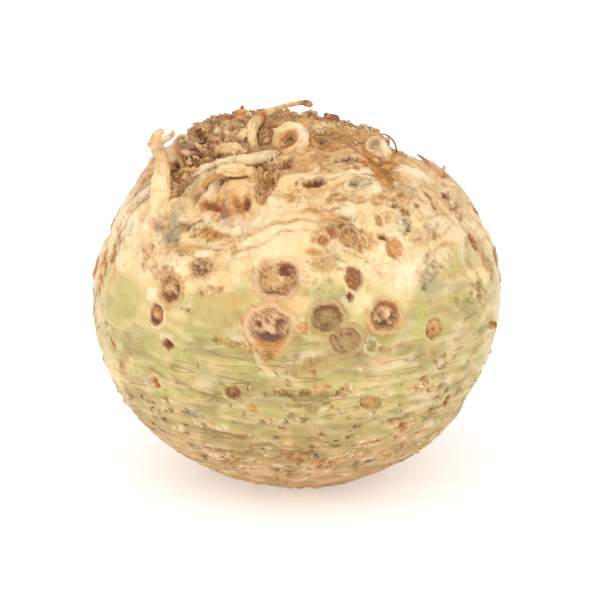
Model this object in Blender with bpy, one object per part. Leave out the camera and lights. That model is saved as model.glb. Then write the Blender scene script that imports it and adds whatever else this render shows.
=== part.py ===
"""Celeriac root, trimmed at its leaf end and standing on that cut, root end up.

Metres, +Z up. The origin is the centre of the flat trimmed face that it rests on.
The swollen root grew as one piece and is one solid. The free roots that still
stand off it are separate solids, each cut to sit just clear of its skin.
"""
import math

import bmesh
import bpy
from mathutils import Vector, noise

MM = 0.001

# Driving dimensions of the swollen root
WIDTH = 125 * MM                 # left to right, at the widest ring
DEPTH = 122 * MM                 # front to back
UNCUT_HEIGHT = 113.2 * MM        # pole to pole, before the leaf end was cut off
TRIM = 2.6 * MM                  # what the cut took off the lower pole
RAGGED_FROM = 52                 # latitude in degrees above which the skin is rough
RAGGED_HEIGHT = 1.3 * MM
RAGGED_GRAIN = 11 * MM
SPHERE_LEVEL = 5                 # icosphere level, edges of about 5 mm

SKIN_GAP = 0.3 * MM              # clearance between a free root and the skin
CURVE_STEPS = 4                  # segments between two control points of a root
CURVE_SIDES = 2                  # bevel resolution, 8 sides round

# Swellings (+) and hollows (-) of the skin:
# azimuth and latitude in degrees (0 is the front, 90 is the right), reach in degrees, height in mm
LUMPS = [
    (-80, 45, 15, 1.9),          # left shoulder
    (-85, 66, 16, 3.0),          # the root end is higher on the left
    (72, 61, 13, -2.2),          # and lower on the right
    (88, -18, 21, -2.2),         # the right side tapers below the middle
    (-90, -12, 16, -0.9),        # so does the left, less
    (-28, 42, 13, 1.6),          # buttress under the crossing root
    (27, 46, 15, 1.4),           # swelling left of the fibrous groove
    (47, 52, 8, -1.8),           # fibrous groove
    (-47, 33, 11, 1.5),          # ridge that the forked root climbs from
    (-34, 40, 9, -2.2),          # brown hollow beside it
    (62, 8, 16, 1.2),            # lobed swelling on the right
    (-5, 32, 16, 0.8),           # smooth cream swelling
    (-15, 76, 14, -1.6),         # sunken middle of the root end
    (0, -24, 60, -0.9),          # the front tapers below the middle
    (165, 40, 20, 2.0),          # back shoulder
    (128, 28, 13, -1.6),         # hollow at the back right
    (-140, 22, 18, 1.6),         # swelling at the back left
    (-160, 58, 11, -1.5),        # groove in the back shoulder
]

# Free roots: x, y, z and radius in mm for each control point, base first.
# A base starts inside the skin and is trimmed to it. Each list is one limb.
FREE_ROOTS = {
    "long_arched_root": [[
        (-12.5, -22, 100, 3.0), (-12.6, -18, 105, 2.7), (-12.2, -14, 109.5, 2.4),
        (-9.5, -11, 112.2, 1.9), (-5, -9.5, 113.8, 1.4), (0, -8, 114.9, 1.3), (3.6, -8, 114.9, 1.5),
    ]],
    "forked_root": [[
        (-36, -38, 80, 2.2), (-39.6, -34.6, 87, 2.8), (-39.2, -28.5, 93.5, 2.8),
        (-39, -23, 98.5, 2.6), (-40, -20.5, 102.5, 2.4), (-41, -20, 106, 2.1), (-38.9, -20, 108.6, 1.1),
    ], [
        (-40.4, -20.3, 104.5, 1.6), (-38.4, -19.3, 107, 1.3), (-36.4, -18.8, 108.2, 1.0),
        (-35.9, -18.2, 109.8, 0.7),
    ]],
    "folded_torn_root": [[
        (-8, -22, 101, 2.2), (-8.2, -24, 106.6, 2.4), (-6.2, -22.5, 110, 2.2),
        (-2.4, -20.8, 111.8, 2.0), (0.9, -20.6, 110.9, 2.4), (2.0, -22.2, 108.6, 2.3),
        (0.4, -25, 105.8, 1.9), (-1, -24, 102, 1.6),
    ]],
    "crossing_root": [[
        (-25.5, -27, 98, 1.4), (-22, -30, 101.8, 1.7), (-17, -32.3, 103.2, 2.0),
        (-12.6, -33.2, 103.4, 2.0), (-9, -32, 102.9, 1.7), (-6.5, -29.6, 101, 1.3),
    ]],
    "curled_rootlet": [[
        (-32.5, -12, 100, 0.9), (-34.4, -12, 104.6, 0.8), (-33.9, -12, 106.7, 0.7),
        (-32.2, -12, 107, 0.6), (-31.5, -12, 105.9, 0.5),
    ]],
    "brown_root_stump": [[
        (-16.4, -1, 104, 3.4), (-16.5, -1.8, 109, 3.2), (-16.4, -2.2, 111.6, 2.4), (-16, -2.2, 113, 0.9),
    ]],
    "wiry_rootlet": [[
        (21.4, -13.5, 102, 0.7), (22.6, -12.8, 107.4, 0.6), (25, -12, 108.1, 0.5),
        (27.3, -12, 106.6, 0.5), (28.9, -12.2, 104.2, 0.45), (29.4, -12.4, 102.9, 0.4),
    ]],
    "round_cut_stub": [[
        (19.6, -16, 98, 2.8), (22.6, -18.6, 103.4, 2.7), (24.2, -19.8, 105.8, 2.5),
    ]],
    "peeled_shard_large": [[
        (40.5, -7.5, 93, 1.3), (39.6, -7, 98.6, 1.2), (37.8, -6, 100.4, 0.9), (35.8, -5.4, 101.8, 0.4),
    ]],
    "peeled_shard_small": [[
        (42, -7.5, 92, 1.2), (44.3, -7, 96.2, 1.1), (45, -6.6, 98.2, 0.4),
    ]],
    "right_side_stub": [[
        (52, -23.6, 53.5, 1.9), (56.4, -25.6, 53.8, 1.7), (58.3, -26.5, 53.9, 1.2),
    ]],
    "top_cut_stub": [[
        (8, 3, 103, 2.5), (9.5, 3.5, 108.8, 2.4), (10.2, 3.8, 110.9, 2.1),
    ]],
    "back_thick_root": [[
        (-8, 32, 96, 3.2), (-9, 37, 101.5, 3.0), (-12.5, 41.5, 103, 2.6), (-17.5, 43.6, 101.4, 2.3),
        (-22.6, 43.6, 98.6, 2.0), (-26.4, 42.4, 95.6, 1.6),
    ]],
    "back_hooked_rootlet": [[
        (15, 43, 74.5, 1.7), (17.4, 50, 80, 1.6), (20.5, 54.4, 83.6, 1.3), (25, 56, 84.4, 1.0),
        (28.6, 55.4, 82.2, 0.7),
    ]],
    "back_cut_stub": [[
        (30, 38, 78, 2.4), (35.3, 44.8, 80.4, 2.3), (36.8, 46.8, 81, 2.0),
    ]],
}

PALE_SKIN = (0.82, 0.60, 0.32)
PALE_ROOT = (0.86, 0.68, 0.40)
BROWN_ROOT = (0.42, 0.22, 0.08)
PINK_PEEL = (0.74, 0.46, 0.28)
ROOT_COLOURS = {
    "brown_root_stump": BROWN_ROOT,
    "wiry_rootlet": BROWN_ROOT,
    "right_side_stub": BROWN_ROOT,
    "back_hooked_rootlet": BROWN_ROOT,
    "peeled_shard_large": PINK_PEEL,
    "peeled_shard_small": PINK_PEEL,
}


def clear_scene():
    for item in list(bpy.data.objects):
        bpy.data.objects.remove(item, do_unlink=True)


def new_collection(name):
    collection = bpy.data.collections.new(name)
    bpy.context.scene.collection.children.link(collection)
    return collection


def new_object(name, mesh, collection):
    item = bpy.data.objects.new(name, mesh)
    collection.objects.link(item)
    return item


def vegetable_material(name, colour, roughness):
    material = bpy.data.materials.new(name)
    material.use_nodes = True
    shader = material.node_tree.nodes["Principled BSDF"]
    shader.inputs["Base Color"].default_value = (*colour, 1)
    shader.inputs["Roughness"].default_value = roughness
    shader.inputs["Metallic"].default_value = 0.0
    return material


def direction_at(azimuth, latitude):
    """Unit direction for an azimuth (0 front, 90 right) and a latitude, in degrees."""
    turn, rise = math.radians(azimuth), math.radians(latitude)
    return Vector((math.sin(turn) * math.cos(rise), -math.cos(turn) * math.cos(rise), math.sin(rise)))


def swelling(direction):
    """Height of the skin above the smooth form, in metres."""
    total = 0.0
    for azimuth, latitude, reach, height in LUMPS:
        away = math.degrees(direction.angle(direction_at(azimuth, latitude)))
        total += height * MM * math.exp(-((away / reach) ** 2))
    latitude = math.degrees(math.asin(max(-1, min(1, direction.z))))
    rough = max(0, min(1, (latitude - RAGGED_FROM) / 15))
    return total + rough * RAGGED_HEIGHT * noise.noise(direction * (WIDTH / 2 / RAGGED_GRAIN))


def skin_point(direction, lift):
    """Point of the skin in this direction, raised by lift; the trimmed face is at z = 0."""
    smooth = Vector((direction.x * WIDTH / 2, direction.y * DEPTH / 2, direction.z * UNCUT_HEIGHT / 2))
    outward = Vector((smooth.x, smooth.y, smooth.z * (WIDTH / UNCUT_HEIGHT) ** 2)).normalized()
    centre = Vector((0, 0, UNCUT_HEIGHT / 2 - TRIM))
    return centre + smooth + outward * (swelling(direction) + lift)


def swollen_form(name, collection, lift):
    """The whole swollen form as an icosphere pushed out to the skin, not yet trimmed."""
    mesh = bpy.data.meshes.new(name)
    shape = bmesh.new()
    bmesh.ops.create_icosphere(shape, subdivisions=SPHERE_LEVEL, radius=1)
    for vertex in shape.verts:
        vertex.co = skin_point(vertex.co.normalized(), lift)
    shape.to_mesh(mesh)
    shape.free()
    mesh.shade_smooth()
    return new_object(name, mesh, collection)


def subtract(item, cutter):
    """Cut one object out of another, with a modifier that stays on the object."""
    modifier = item.modifiers.new("cut", "BOOLEAN")
    modifier.operation = "DIFFERENCE"
    modifier.object = cutter


def make_cutter(item):
    item.hide_render = True
    item.display_type = "WIRE"


def swollen_root(parts, cutters):
    """The swollen root, with the knife cut across its leaf end."""
    body = swollen_form("swollen_root", parts, 0)
    body.data.materials.append(vegetable_material("celeriac_skin", PALE_SKIN, 0.7))

    knife = bpy.data.meshes.new("crown_cut")
    block = bmesh.new()
    bmesh.ops.create_cube(block, size=WIDTH)
    bmesh.ops.translate(block, verts=block.verts, vec=(0, 0, -WIDTH / 2))
    block.to_mesh(knife)
    block.free()
    crown_cut = new_object("crown_cut", knife, cutters)
    make_cutter(crown_cut)
    subtract(body, crown_cut)
    return body


def limb_mesh(name, points):
    """One tapering limb: a bevelled curve through the points, as a closed mesh."""
    curve = bpy.data.curves.new(name, "CURVE")
    curve.dimensions = "3D"
    curve.resolution_u = CURVE_STEPS
    curve.bevel_depth = 1.0
    curve.bevel_resolution = CURVE_SIDES
    curve.use_fill_caps = True
    spline = curve.splines.new("BEZIER")
    spline.bezier_points.add(len(points) - 1)
    for knot, (x, y, z, radius) in zip(spline.bezier_points, points):
        knot.co = Vector((x, y, z)) * MM
        knot.radius = radius * MM
        knot.handle_left_type = knot.handle_right_type = "AUTO"

    guide = bpy.data.objects.new(name, curve)
    bpy.context.scene.collection.objects.link(guide)
    depsgraph = bpy.context.evaluated_depsgraph_get()
    mesh = bpy.data.meshes.new_from_object(guide.evaluated_get(depsgraph))
    bpy.data.objects.remove(guide)
    bpy.data.curves.remove(curve)

    shape = bmesh.new()
    shape.from_mesh(mesh)
    bmesh.ops.remove_doubles(shape, verts=shape.verts, dist=0.00001)
    shape.to_mesh(mesh)
    shape.free()
    mesh.materials.clear()
    mesh.shade_smooth()
    return mesh


def free_root(name, limbs, parts, cutters, skin_clearance):
    """A free root: its limbs joined in one solid, trimmed just clear of the skin."""
    root = new_object(name, limb_mesh(name, limbs[0]), parts)
    root.data.materials.append(
        vegetable_material(name + "_flesh", ROOT_COLOURS.get(name, PALE_ROOT), 0.75))
    for number, points in enumerate(limbs[1:], start=1):
        branch = new_object(f"{name}_branch_{number}", limb_mesh(name, points), cutters)
        make_cutter(branch)
        join = root.modifiers.new("fork", "BOOLEAN")
        join.operation = "UNION"
        join.object = branch
    subtract(root, skin_clearance)
    return root


def build():
    clear_scene()
    parts = new_collection("celeriac_root")
    cutters = new_collection("cutters")
    swollen_root(parts, cutters)
    skin_clearance = swollen_form("skin_clearance", cutters, SKIN_GAP)
    make_cutter(skin_clearance)
    for name, limbs in FREE_ROOTS.items():
        free_root(name, limbs, parts, cutters, skin_clearance)


build()
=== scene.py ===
import math
import random

import bpy
import numpy as np
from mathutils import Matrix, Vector, noise
from mathutils.bvhtree import BVHTree


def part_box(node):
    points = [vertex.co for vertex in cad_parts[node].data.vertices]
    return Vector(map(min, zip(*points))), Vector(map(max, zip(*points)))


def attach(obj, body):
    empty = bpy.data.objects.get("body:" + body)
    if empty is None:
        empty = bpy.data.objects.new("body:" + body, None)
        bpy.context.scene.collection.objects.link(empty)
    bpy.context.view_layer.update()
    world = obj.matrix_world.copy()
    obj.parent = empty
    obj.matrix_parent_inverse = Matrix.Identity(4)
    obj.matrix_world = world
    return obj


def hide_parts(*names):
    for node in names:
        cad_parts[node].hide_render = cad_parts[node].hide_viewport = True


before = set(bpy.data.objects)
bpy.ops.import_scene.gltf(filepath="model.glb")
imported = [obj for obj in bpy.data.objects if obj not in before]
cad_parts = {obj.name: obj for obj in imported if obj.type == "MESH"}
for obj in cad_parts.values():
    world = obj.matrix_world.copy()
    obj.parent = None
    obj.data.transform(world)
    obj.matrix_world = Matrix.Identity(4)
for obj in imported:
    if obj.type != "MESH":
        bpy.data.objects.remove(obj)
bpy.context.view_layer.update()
mm = 0.001
everywhere = slice(None)            # all the points of the mesh that is being shaped
print("frame loaded:", len(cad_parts), "nodes")


def toLinear(hexColour):
    values = [int(hexColour[i:i + 2], 16) / 255 for i in (1, 3, 5)]
    return np.array([v / 12.92 if v <= 0.04045 else ((v + 0.055) / 1.055) ** 2.4 for v in values])


def smooth(low, high, x):
    # 0 up to low, 1 from high, eased between; with low above high it falls instead
    t = np.clip((x - low) / (high - low), 0, 1)
    return t * t * (3 - 2 * t)


def bell(x):
    return np.exp(-np.square(x))


def grain(points, size, shift=0.0):
    # noise about as coarse as size in mm; the shift only moves it, so that no two patterns match
    return np.array([noise.noise(p) for p in (points / size + shift).tolist()])


def drift(points, size, *shifts):
    return np.stack([grain(points, size, shift) for shift in shifts], axis=1)


def deselect():
    bpy.ops.object.select_all(action="DESELECT")


def choose(item):
    deselect()
    item.select_set(True)
    bpy.context.view_layer.objects.active = item


def startEdit(item, mode="VERT", action="SELECT"):
    choose(item)
    bpy.ops.object.mode_set(mode="EDIT")
    bpy.ops.mesh.select_mode(type=mode)
    bpy.ops.mesh.select_all(action=action)


def endEdit():
    bpy.ops.object.mode_set(mode="OBJECT")


def applyModifier(item, kind, **settings):
    choose(item)
    modifier = item.modifiers.new(kind.lower(), kind)
    for name, value in settings.items():
        setattr(modifier, name, value)
    bpy.ops.object.modifier_apply(modifier=modifier.name)


def readVectors(items, name):
    values = np.empty(len(items) * 3)
    items.foreach_get(name, values)
    return values.reshape(-1, 3)


def getPoints(mesh):
    return readVectors(mesh.vertices, "co")


def setPoints(mesh, points):
    mesh.vertices.foreach_set("co", np.asarray(points, dtype=float).ravel())
    mesh.update()


def addColour(mesh, name, rgb, alpha=1.0):
    layer = mesh.attributes.new(name, "FLOAT_COLOR", "POINT")
    values = np.empty((len(rgb), 4))
    values[:, :3], values[:, 3] = rgb, alpha
    layer.data.foreach_set("color", values.ravel())


def addVector(mesh, name, vectors):
    layer = mesh.attributes.new(name, "FLOAT_VECTOR", "POINT")
    layer.data.foreach_set("vector", np.asarray(vectors, dtype=float).ravel())


def addNode(tree, kind, sockets=None, **settings):
    node = tree.nodes.new(kind)
    for name, value in settings.items():
        setattr(node, name, value)
    for name, value in (sockets or {}).items():
        if isinstance(value, bpy.types.NodeSocket):
            tree.links.new(value, node.inputs[name])
        else:
            node.inputs[name].default_value = value
    return node


def startMaterial(name):
    material = bpy.data.materials.new(name)
    material.use_nodes = True
    return material, material.node_tree, material.node_tree.nodes["Principled BSDF"]


def finishPiece(piece, material):
    piece.data.materials.append(material)
    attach(piece, "root")


palette = {name: toLinear(value) for name, value in {
    "cream": "#fadca6", "brightCream": "#ffeac4", "peach": "#efc48c", "tan": "#d6a468",
    "green": "#ccbc76", "freshGreen": "#bdb768", "greyGreen": "#b9ab7c", "olive": "#9c8c48",
    "corkTan": "#a2845a", "lowTan": "#b8995f", "lowGreen": "#c6b06c", "baseTan": "#c39a64",
    "pinkTan": "#dfb286", "paleFlake": "#f4deb4", "scarTan": "#c99458", "scarBrown": "#ad7440",
    "umber": "#854f26", "darkBrown": "#4e2a12", "maroon": "#7f3a2a", "rust": "#a9602a",
    "orange": "#cf8a3e", "ochre": "#c99a55", "grey": "#a3937a", "smoke": "#7d705c", "purple": "#71504a",
    "fibre": "#c98a44", "amber": "#e3ac69", "bandTan": "#cdb286", "paleRoot": "#f2d29a",
    "rootGreen": "#ecd6a2", "pink": "#dd9f7c", "lilac": "#cdaca0",
}.items()}

studio = {
    "lens": 100.0, "sensor": 36.0,  # mm
    "distance": 0.511, "elevation": 15.0, "aim": (0.0008, 0.0, 0.0543),
    "clip": (0.01, 50),
    "floorSize": 12.0, "floorDrop": 0.0002, "floorTone": 0.9, "floorGlow": 0.34,
    "skyStrength": 0.74,
    # strength, width in degrees, and the side that it shines from
    "lamps": {
        "keyLight": (0.98, 70, (-0.42, -0.84, 0.9)),
        "fillLight": (0.5, 80, (0.9, -0.55, 0.45)),
    },
}


def placeCamera():
    rise = math.radians(studio["elevation"])
    aim = Vector(studio["aim"])
    place = aim + Vector((0, -math.cos(rise), math.sin(rise))) * studio["distance"]
    lens = bpy.data.cameras.new("camera")
    lens.lens, lens.sensor_width = studio["lens"], studio["sensor"]
    lens.clip_start, lens.clip_end = studio["clip"]
    camera = bpy.data.objects.new("camera", lens)
    bpy.context.scene.collection.objects.link(camera)
    camera.location = place
    camera.rotation_euler = (aim - place).to_track_quat("-Z", "Y").to_euler()
    bpy.context.scene.camera = camera


def layFloor():
    deselect()
    bpy.ops.mesh.primitive_plane_add(size=studio["floorSize"], location=(0, 0, -studio["floorDrop"]))
    floor = bpy.context.object
    floor.name = "studioFloor"
    # opal acrylic lit from below: matt and evenly white, with a faint shadow under the root
    paint, tree, shader = startMaterial("backlitWhiteAcrylic")
    shader.inputs["Base Color"].default_value = (*(studio["floorTone"],) * 3, 1)
    shader.inputs["Roughness"].default_value = 0.95
    shader.inputs["Emission Color"].default_value = (1.0, 1.0, 1.0, 1)
    shader.inputs["Emission Strength"].default_value = studio["floorGlow"]
    floor.data.materials.append(paint)


def hangLights():
    world = bpy.data.worlds.new("softStudio")
    bpy.context.scene.world = world
    world.use_nodes = True
    sky = world.node_tree.nodes["Background"]
    sky.inputs["Color"].default_value = (1.0, 1.0, 1.0, 1)
    sky.inputs["Strength"].default_value = studio["skyStrength"]
    for name, (power, spread, spot) in studio["lamps"].items():
        lamp = bpy.data.lights.new(name, "SUN")
        lamp.energy, lamp.angle = power, math.radians(spread)
        light = bpy.data.objects.new(name, lamp)
        bpy.context.scene.collection.objects.link(light)
        light.location = spot
        light.rotation_euler = (-Vector(spot)).to_track_quat("-Z", "Y").to_euler()
    bpy.context.scene.view_settings.view_transform = "Standard"


placeCamera()
layFloor()
hangLights()
print("studio ready")

skinSettings = {
    "cuts": 127,                    # one less than the quads along a cube edge, about 0.75 mm each
    "waist": (0.0, 0.0, 54.0),      # mm, centre that azimuth and latitude are measured from
    "radius": 58,                   # mm, for lengths up the skin
    "cast": 0.08,                   # m, radius of the ball that is shrunk onto the CAD root
    "smoothing": 30,
    "gather": 0.76,                 # cells are this much finer at the front top, and coarser behind
    "gatherAt": (0, 30),            # azimuth and latitude
    "footFrom": -22,                # latitude where the rings turn from olive to brown
    "crustFrom": 0.03,              # share of roughness from which the mat is cut out
    "crustLift": 0.5,               # mm that the matted crust stands above the skin under it
    "crustRelief": 0.6,             # mm
    "rounds": 6,                    # times that heights are averaged with their neighbours, to find the hollows that get painted shade
    "crustRounds": 8,
    "crustTuck": 0.88,              # its border is drawn in under the skin to this part of the way out
}
centre = np.array(skinSettings["waist"])

# cut or torn root scars, each with a raised collar, a dark line, a ring and a rough core:
# azimuth, latitude, width, height (mm), tilt, tones of collar, ring and core, and extras
cutScars = [
    (-5.3, 20.6, 10.6, 8.6, 20, "pinkTan", "scarTan", "tan", {"pit": (0.58, 0.34, 0.46, "maroon")}),
    (-7.1, 8.2, 10.6, 10.2, 0, "peach", "pinkTan", "scarBrown",
     {"fuzz": "pinkTan", "foot": "purple", "drop": "orange"}),
    (7.8, 10.5, 8.4, 7.4, 0, "lowTan", "corkTan", "corkTan", {"crown": "umber"}),
    (12.5, 4.3, 7.8, 7.0, 18, "lowTan", "lowTan", "corkTan", {}),
    (23.8, 9.9, 8.2, 8.0, -15, "tan", "scarTan", "pinkTan", {"fuzz": "peach", "crown": "rust"}),
    (38.6, 4.6, 5.8, 6.2, -22, "green", "tan", "amber", {"pit": (0.1, 0.0, 0.25, "scarBrown")}),
    (16.0, 31.4, 4.8, 5.0, 0, "peach", "tan", "ochre", {}),
    (-40.3, 7.9, 4.7, 6.0, -14, "cream", "rust", "scarTan", {"foot": "darkBrown"}),
    (-27.5, 22.3, 6.4, 5.4, 0, "peach", "pinkTan", "scarBrown", {"fuzz": "tan"}),
    (-17.4, -10.7, 4.6, 4.0, 0, "green", "umber", "umber", {"pit": (0.15, -0.3, 0.35, "darkBrown")}),
    (25.9, 47.4, 7.2, 4.6, 8, "cream", "rootGreen", "greyGreen", {"pit": (-0.5, 0.1, 0.36, "smoke")}),
    (-36.6, 15.3, 6.6, 7.2, 0, "tan", "lowTan", "scarTan", {"fuzz": "pinkTan", "foot": "umber"}),
    (20.6, -14.1, 6.6, 3.8, -8, "green", "lowTan", "scarTan", {}),
]

# hollows and pits: azimuth, latitude, width, height, tilt, depth, tones of floor, wall and lip
hollows = [
    (29.6, 27.3, 5.4, 6.8, -14, 1.1, "amber", "orange", "brightCream"),
    (27.4, 30.4, 3.0, 1.7, -34, 1.3, "umber", "umber", "ochre"),
    (7.0, 48.2, 7.4, 2.8, 14, 1.5, "umber", "rust", "cream"),
    (8.8, 49.2, 3.4, 1.3, 14, 0.8, "darkBrown", "darkBrown", "rust"),
    (15.9, 20.2, 5.4, 6.8, -8, 1.2, "rust", "umber", "cream"),
    (14.3, 15.6, 1.8, 3.0, 6, 1.3, "darkBrown", "umber", "cream"),
    (37.2, 15.5, 2.8, 2.4, 0, 0.8, "smoke", "greyGreen", "greyGreen"),
    (-36.1, 0.8, 3.6, 3.6, 20, 1.6, "darkBrown", "umber", "green"),
    (-44.6, 55.4, 6.2, 5.0, 0, 3.0, "darkBrown", "maroon", "rust"),
    (-76.0, 60.6, 8.0, 4.0, -20, 2.4, "maroon", "rust", "tan"),
    (-97.0, 67.0, 8.0, 3.4, 0, 2.2, "maroon", "rust", "tan"),
    (-53.5, 66.8, 5.0, 3.0, 20, 2.0, "umber", "rust", "peach"),
    (-57.0, 47.2, 6.0, 4.6, -20, 1.9, "maroon", "rust", "ochre"),
    (-17.7, 40.6, 3.0, 4.4, 4, 1.4, "darkBrown", "rust", "orange"),
    (-31.6, 39.6, 7.6, 2.6, -10, 1.2, "maroon", "rust", "orange"),
    (-25.4, 36.9, 1.8, 2.0, 0, 0.6, "purple", "purple", "lilac"),
    (35.7, 38.8, 2.4, 2.2, 0, 1.0, "umber", "scarBrown", "cream"),
    (-66.0, 49.6, 3.4, 4.0, 0, 1.2, "umber", "rust", "tan"),
    (22.2, 69.3, 3.4, 3.0, 0, 2.0, "darkBrown", "umber", "amber"),
    (55.2, 39.8, 2.8, 4.0, 16, 1.2, "smoke", "umber", "cream"),
    (54.7, 36.4, 2.2, 2.8, -12, 1.1, "maroon", "rust", "cream"),
    (65.0, 23.0, 4.6, 6.0, 8, 1.3, "maroon", "rust", "tan"),
    (48.7, -18.9, 3.4, 4.4, 10, 1.5, "darkBrown", "umber", "tan"),
    (-12.2, -14.9, 3.4, 3.0, 0, 0.5, "orange", "tan", "green"),
    (1.8, 8.2, 3.2, 4.0, 0, 0.5, "orange", "ochre", "cream"),
    (19.8, 2.4, 3.4, 3.8, 0, 0.6, "olive", "olive", "paleFlake"),
    (7.8, 30.6, 3.8, 3.2, 0, 0.9, "orange", "rust", "peach"),
    (5.0, 27.6, 4.6, 2.0, -8, 0.6, "orange", "tan", "peach"),
    (-42.0, -11.2, 3.2, 4.4, 20, 0.8, "rust", "orange", "cream"),
    (-5.2, -4.0, 1.3, 1.3, 0, 0.5, "smoke", "grey", "paleFlake"),
    (27.4, 35.2, 2.0, 3.2, 0, 0.4, "pink", "rust", "peach"),
    (66.9, 37.8, 1.8, 3.4, -14, 1.1, "umber", "umber", "tan"),
    (-57.0, 57.2, 5.4, 3.4, 10, 2.2, "darkBrown", "umber", "tan"),
    (-91.3, 56.0, 7.0, 4.0, 0, 2.0, "umber", "umber", "tan"),
]

# rough corky patches: azimuth, latitude, width, height, tilt, roughness (mm), ground, deep and high tones
patches = [
    (-67.0, 22.0, 7.0, 13.0, -8, 1.0, "ochre", "umber", "brightCream"),
    (-73.0, 11.0, 8.0, 14.0, 4, 1.0, "orange", "umber", "cream"),
    (-80.0, 0.0, 9.0, 12.0, 0, 0.8, "greyGreen", "umber", "cream"),
    (-60.0, 26.0, 4.0, 9.0, -10, 0.6, "tan", "scarBrown", "cream"),
    (-47.4, 23.4, 7.0, 6.0, 0, 0.6, "pinkTan", "scarBrown", "cream"),
    (-41.0, 19.0, 12.0, 5.0, -6, 0.4, "pinkTan", "grey", "cream"),
    (-36.0, 26.0, 12.0, 3.0, 4, 0.3, "tan", "lowTan", "ochre"),
    (-24.5, 16.5, 6.0, 3.0, 10, 0.5, "pinkTan", "scarBrown", "cream"),
    (-31.0, 11.0, 4.0, 3.0, 30, 0.5, "cream", "umber", "paleFlake"),
    (-56.7, -10.8, 5.4, 3.6, 23, 0.5, "tan", "umber", "green"),
    (-60.0, -4.0, 2.6, 5.0, 14, 0.5, "rust", "umber", "cream"),
    (-30.3, -19.6, 5.9, 2.7, -6, 0.4, "grey", "smoke", "green"),
    (-40.1, 29.7, 11.0, 3.8, 42, 0.5, "grey", "smoke", "greyGreen"),
    (-46.5, 31.5, 7.0, 5.0, 20, 0.4, "pinkTan", "grey", "peach"),
    (-28.6, 30.9, 10.0, 3.6, 3, 0.5, "orange", "rust", "orange"),
    (-31.6, 33.2, 8.0, 4.2, 8, 1.3, "ochre", "umber", "brightCream"),
    (-37.4, 32.2, 3.6, 3.0, 0, 0.9, "scarBrown", "darkBrown", "ochre"),
    (-72.0, 41.0, 7.0, 12.0, -20, 0.7, "pinkTan", "scarBrown", "cream"),
    (1.5, -10.4, 17.0, 3.4, -1, 0.4, "olive", "umber", "lowTan"),
    (5.6, -8.2, 5.2, 4.0, 10, 0.4, "tan", "scarBrown", "pinkTan"),
    (5.5, -13.0, 11.0, 5.0, 16, 0.3, "olive", "corkTan", "lowGreen"),
    (36.3, -10.6, 9.0, 4.0, 24, 0.7, "scarTan", "umber", "paleFlake"),
    (41.5, -5.5, 4.5, 5.0, 20, 0.5, "greyGreen", "umber", "paleFlake"),
    (44.0, -15.0, 6.0, 6.0, 30, 0.6, "greyGreen", "darkBrown", "tan"),
    (43.3, -22.1, 6.0, 3.3, -20, 0.5, "olive", "smoke", "tan"),
    (33.3, -23.8, 10.0, 4.2, -10, 0.6, "scarTan", "umber", "paleFlake"),
    (-0.8, -33.4, 8.0, 6.5, -3, 0.7, "scarBrown", "umber", "ochre"),
    (-26.5, -34.7, 7.5, 4.6, -12, 0.6, "scarBrown", "umber", "paleFlake"),
    (-32.0, -37.0, 10.0, 6.0, -24, 0.5, "pinkTan", "grey", "paleFlake"),
    (10.0, -37.5, 11.0, 4.0, 2, 0.6, "scarTan", "umber", "pinkTan"),
    (23.0, -29.0, 8.0, 3.6, -4, 0.5, "pinkTan", "umber", "paleFlake"),
    (68.0, 35.0, 8.5, 10.0, 8, 1.0, "scarTan", "umber", "paleFlake"),
    (41.5, 37.6, 8.0, 3.4, 8, 0.8, "tan", "umber", "paleFlake"),
    (36.4, 32.8, 6.5, 5.0, 10, 0.8, "greyGreen", "umber", "paleFlake"),
    (44.0, 42.6, 10.0, 6.0, -10, 0.5, "tan", "scarBrown", "greyGreen"),
    (46.0, 30.5, 5.0, 5.0, 0, 0.6, "greyGreen", "umber", "paleFlake"),
    (14.5, 34.5, 9.0, 3.6, -6, 0.8, "scarTan", "darkBrown", "greyGreen"),
    (10.0, 32.4, 10.0, 5.0, 0, 0.5, "scarTan", "rust", "peach"),
    (20.5, 30.0, 8.5, 7.0, 0, 0.4, "ochre", "rust", "peach"),
    (8.0, 25.0, 10.0, 5.5, 0, 0.3, "tan", "greyGreen", "pinkTan"),
    (57.7, 10.0, 8.0, 9.0, 0, 0.7, "greyGreen", "scarBrown", "cream"),
    (51.6, 7.0, 8.5, 8.0, -11, 0.4, "greyGreen", "olive", "freshGreen"),
    (40.0, 19.5, 9.0, 6.0, 20, 0.3, "greyGreen", "grey", "cream"),
    (68.0, 16.0, 7.0, 11.0, 12, 0.7, "tan", "rust", "greyGreen"),
    (-66.0, 38.0, 8.0, 12.0, -20, 0.6, "pinkTan", "grey", "cream"),
    (-62.0, 45.0, 6.0, 12.0, -24, 0.5, "grey", "umber", "tan"),
    (-10.6, 2.0, 9.0, 3.0, -14, 0.3, "ochre", "rust", "cream"),
    (47.0, 49.0, 5.0, 8.0, -20, 0.4, "amber", "fibre", "peach"),
    (19.0, 54.0, 14.0, 4.0, 4, 0.6, "tan", "scarBrown", "cream"),
    (0.0, 44.0, 7.0, 4.6, 6, 0.4, "peach", "scarTan", "cream"),
    (7.4, 48.3, 7.6, 4.0, 14, 0.5, "rust", "umber", "orange"),
    (33.0, 41.0, 14.0, 6.0, -4, 0.35, "tan", "scarTan", "cream"),
    (16.0, 43.5, 13.0, 2.6, -8, 0.4, "tan", "scarBrown", "brightCream"),
    (-19.0, 3.4, 8.0, 2.4, -8, 0.4, "ochre", "umber", "freshGreen"),
    (1.0, -1.6, 13.0, 6.5, 4, 0.25, "lowTan", "corkTan", "lowGreen"),
    (-26.0, 38.8, 13.0, 7.0, -6, 0.4, "orange", "rust", "peach"),
]

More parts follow.
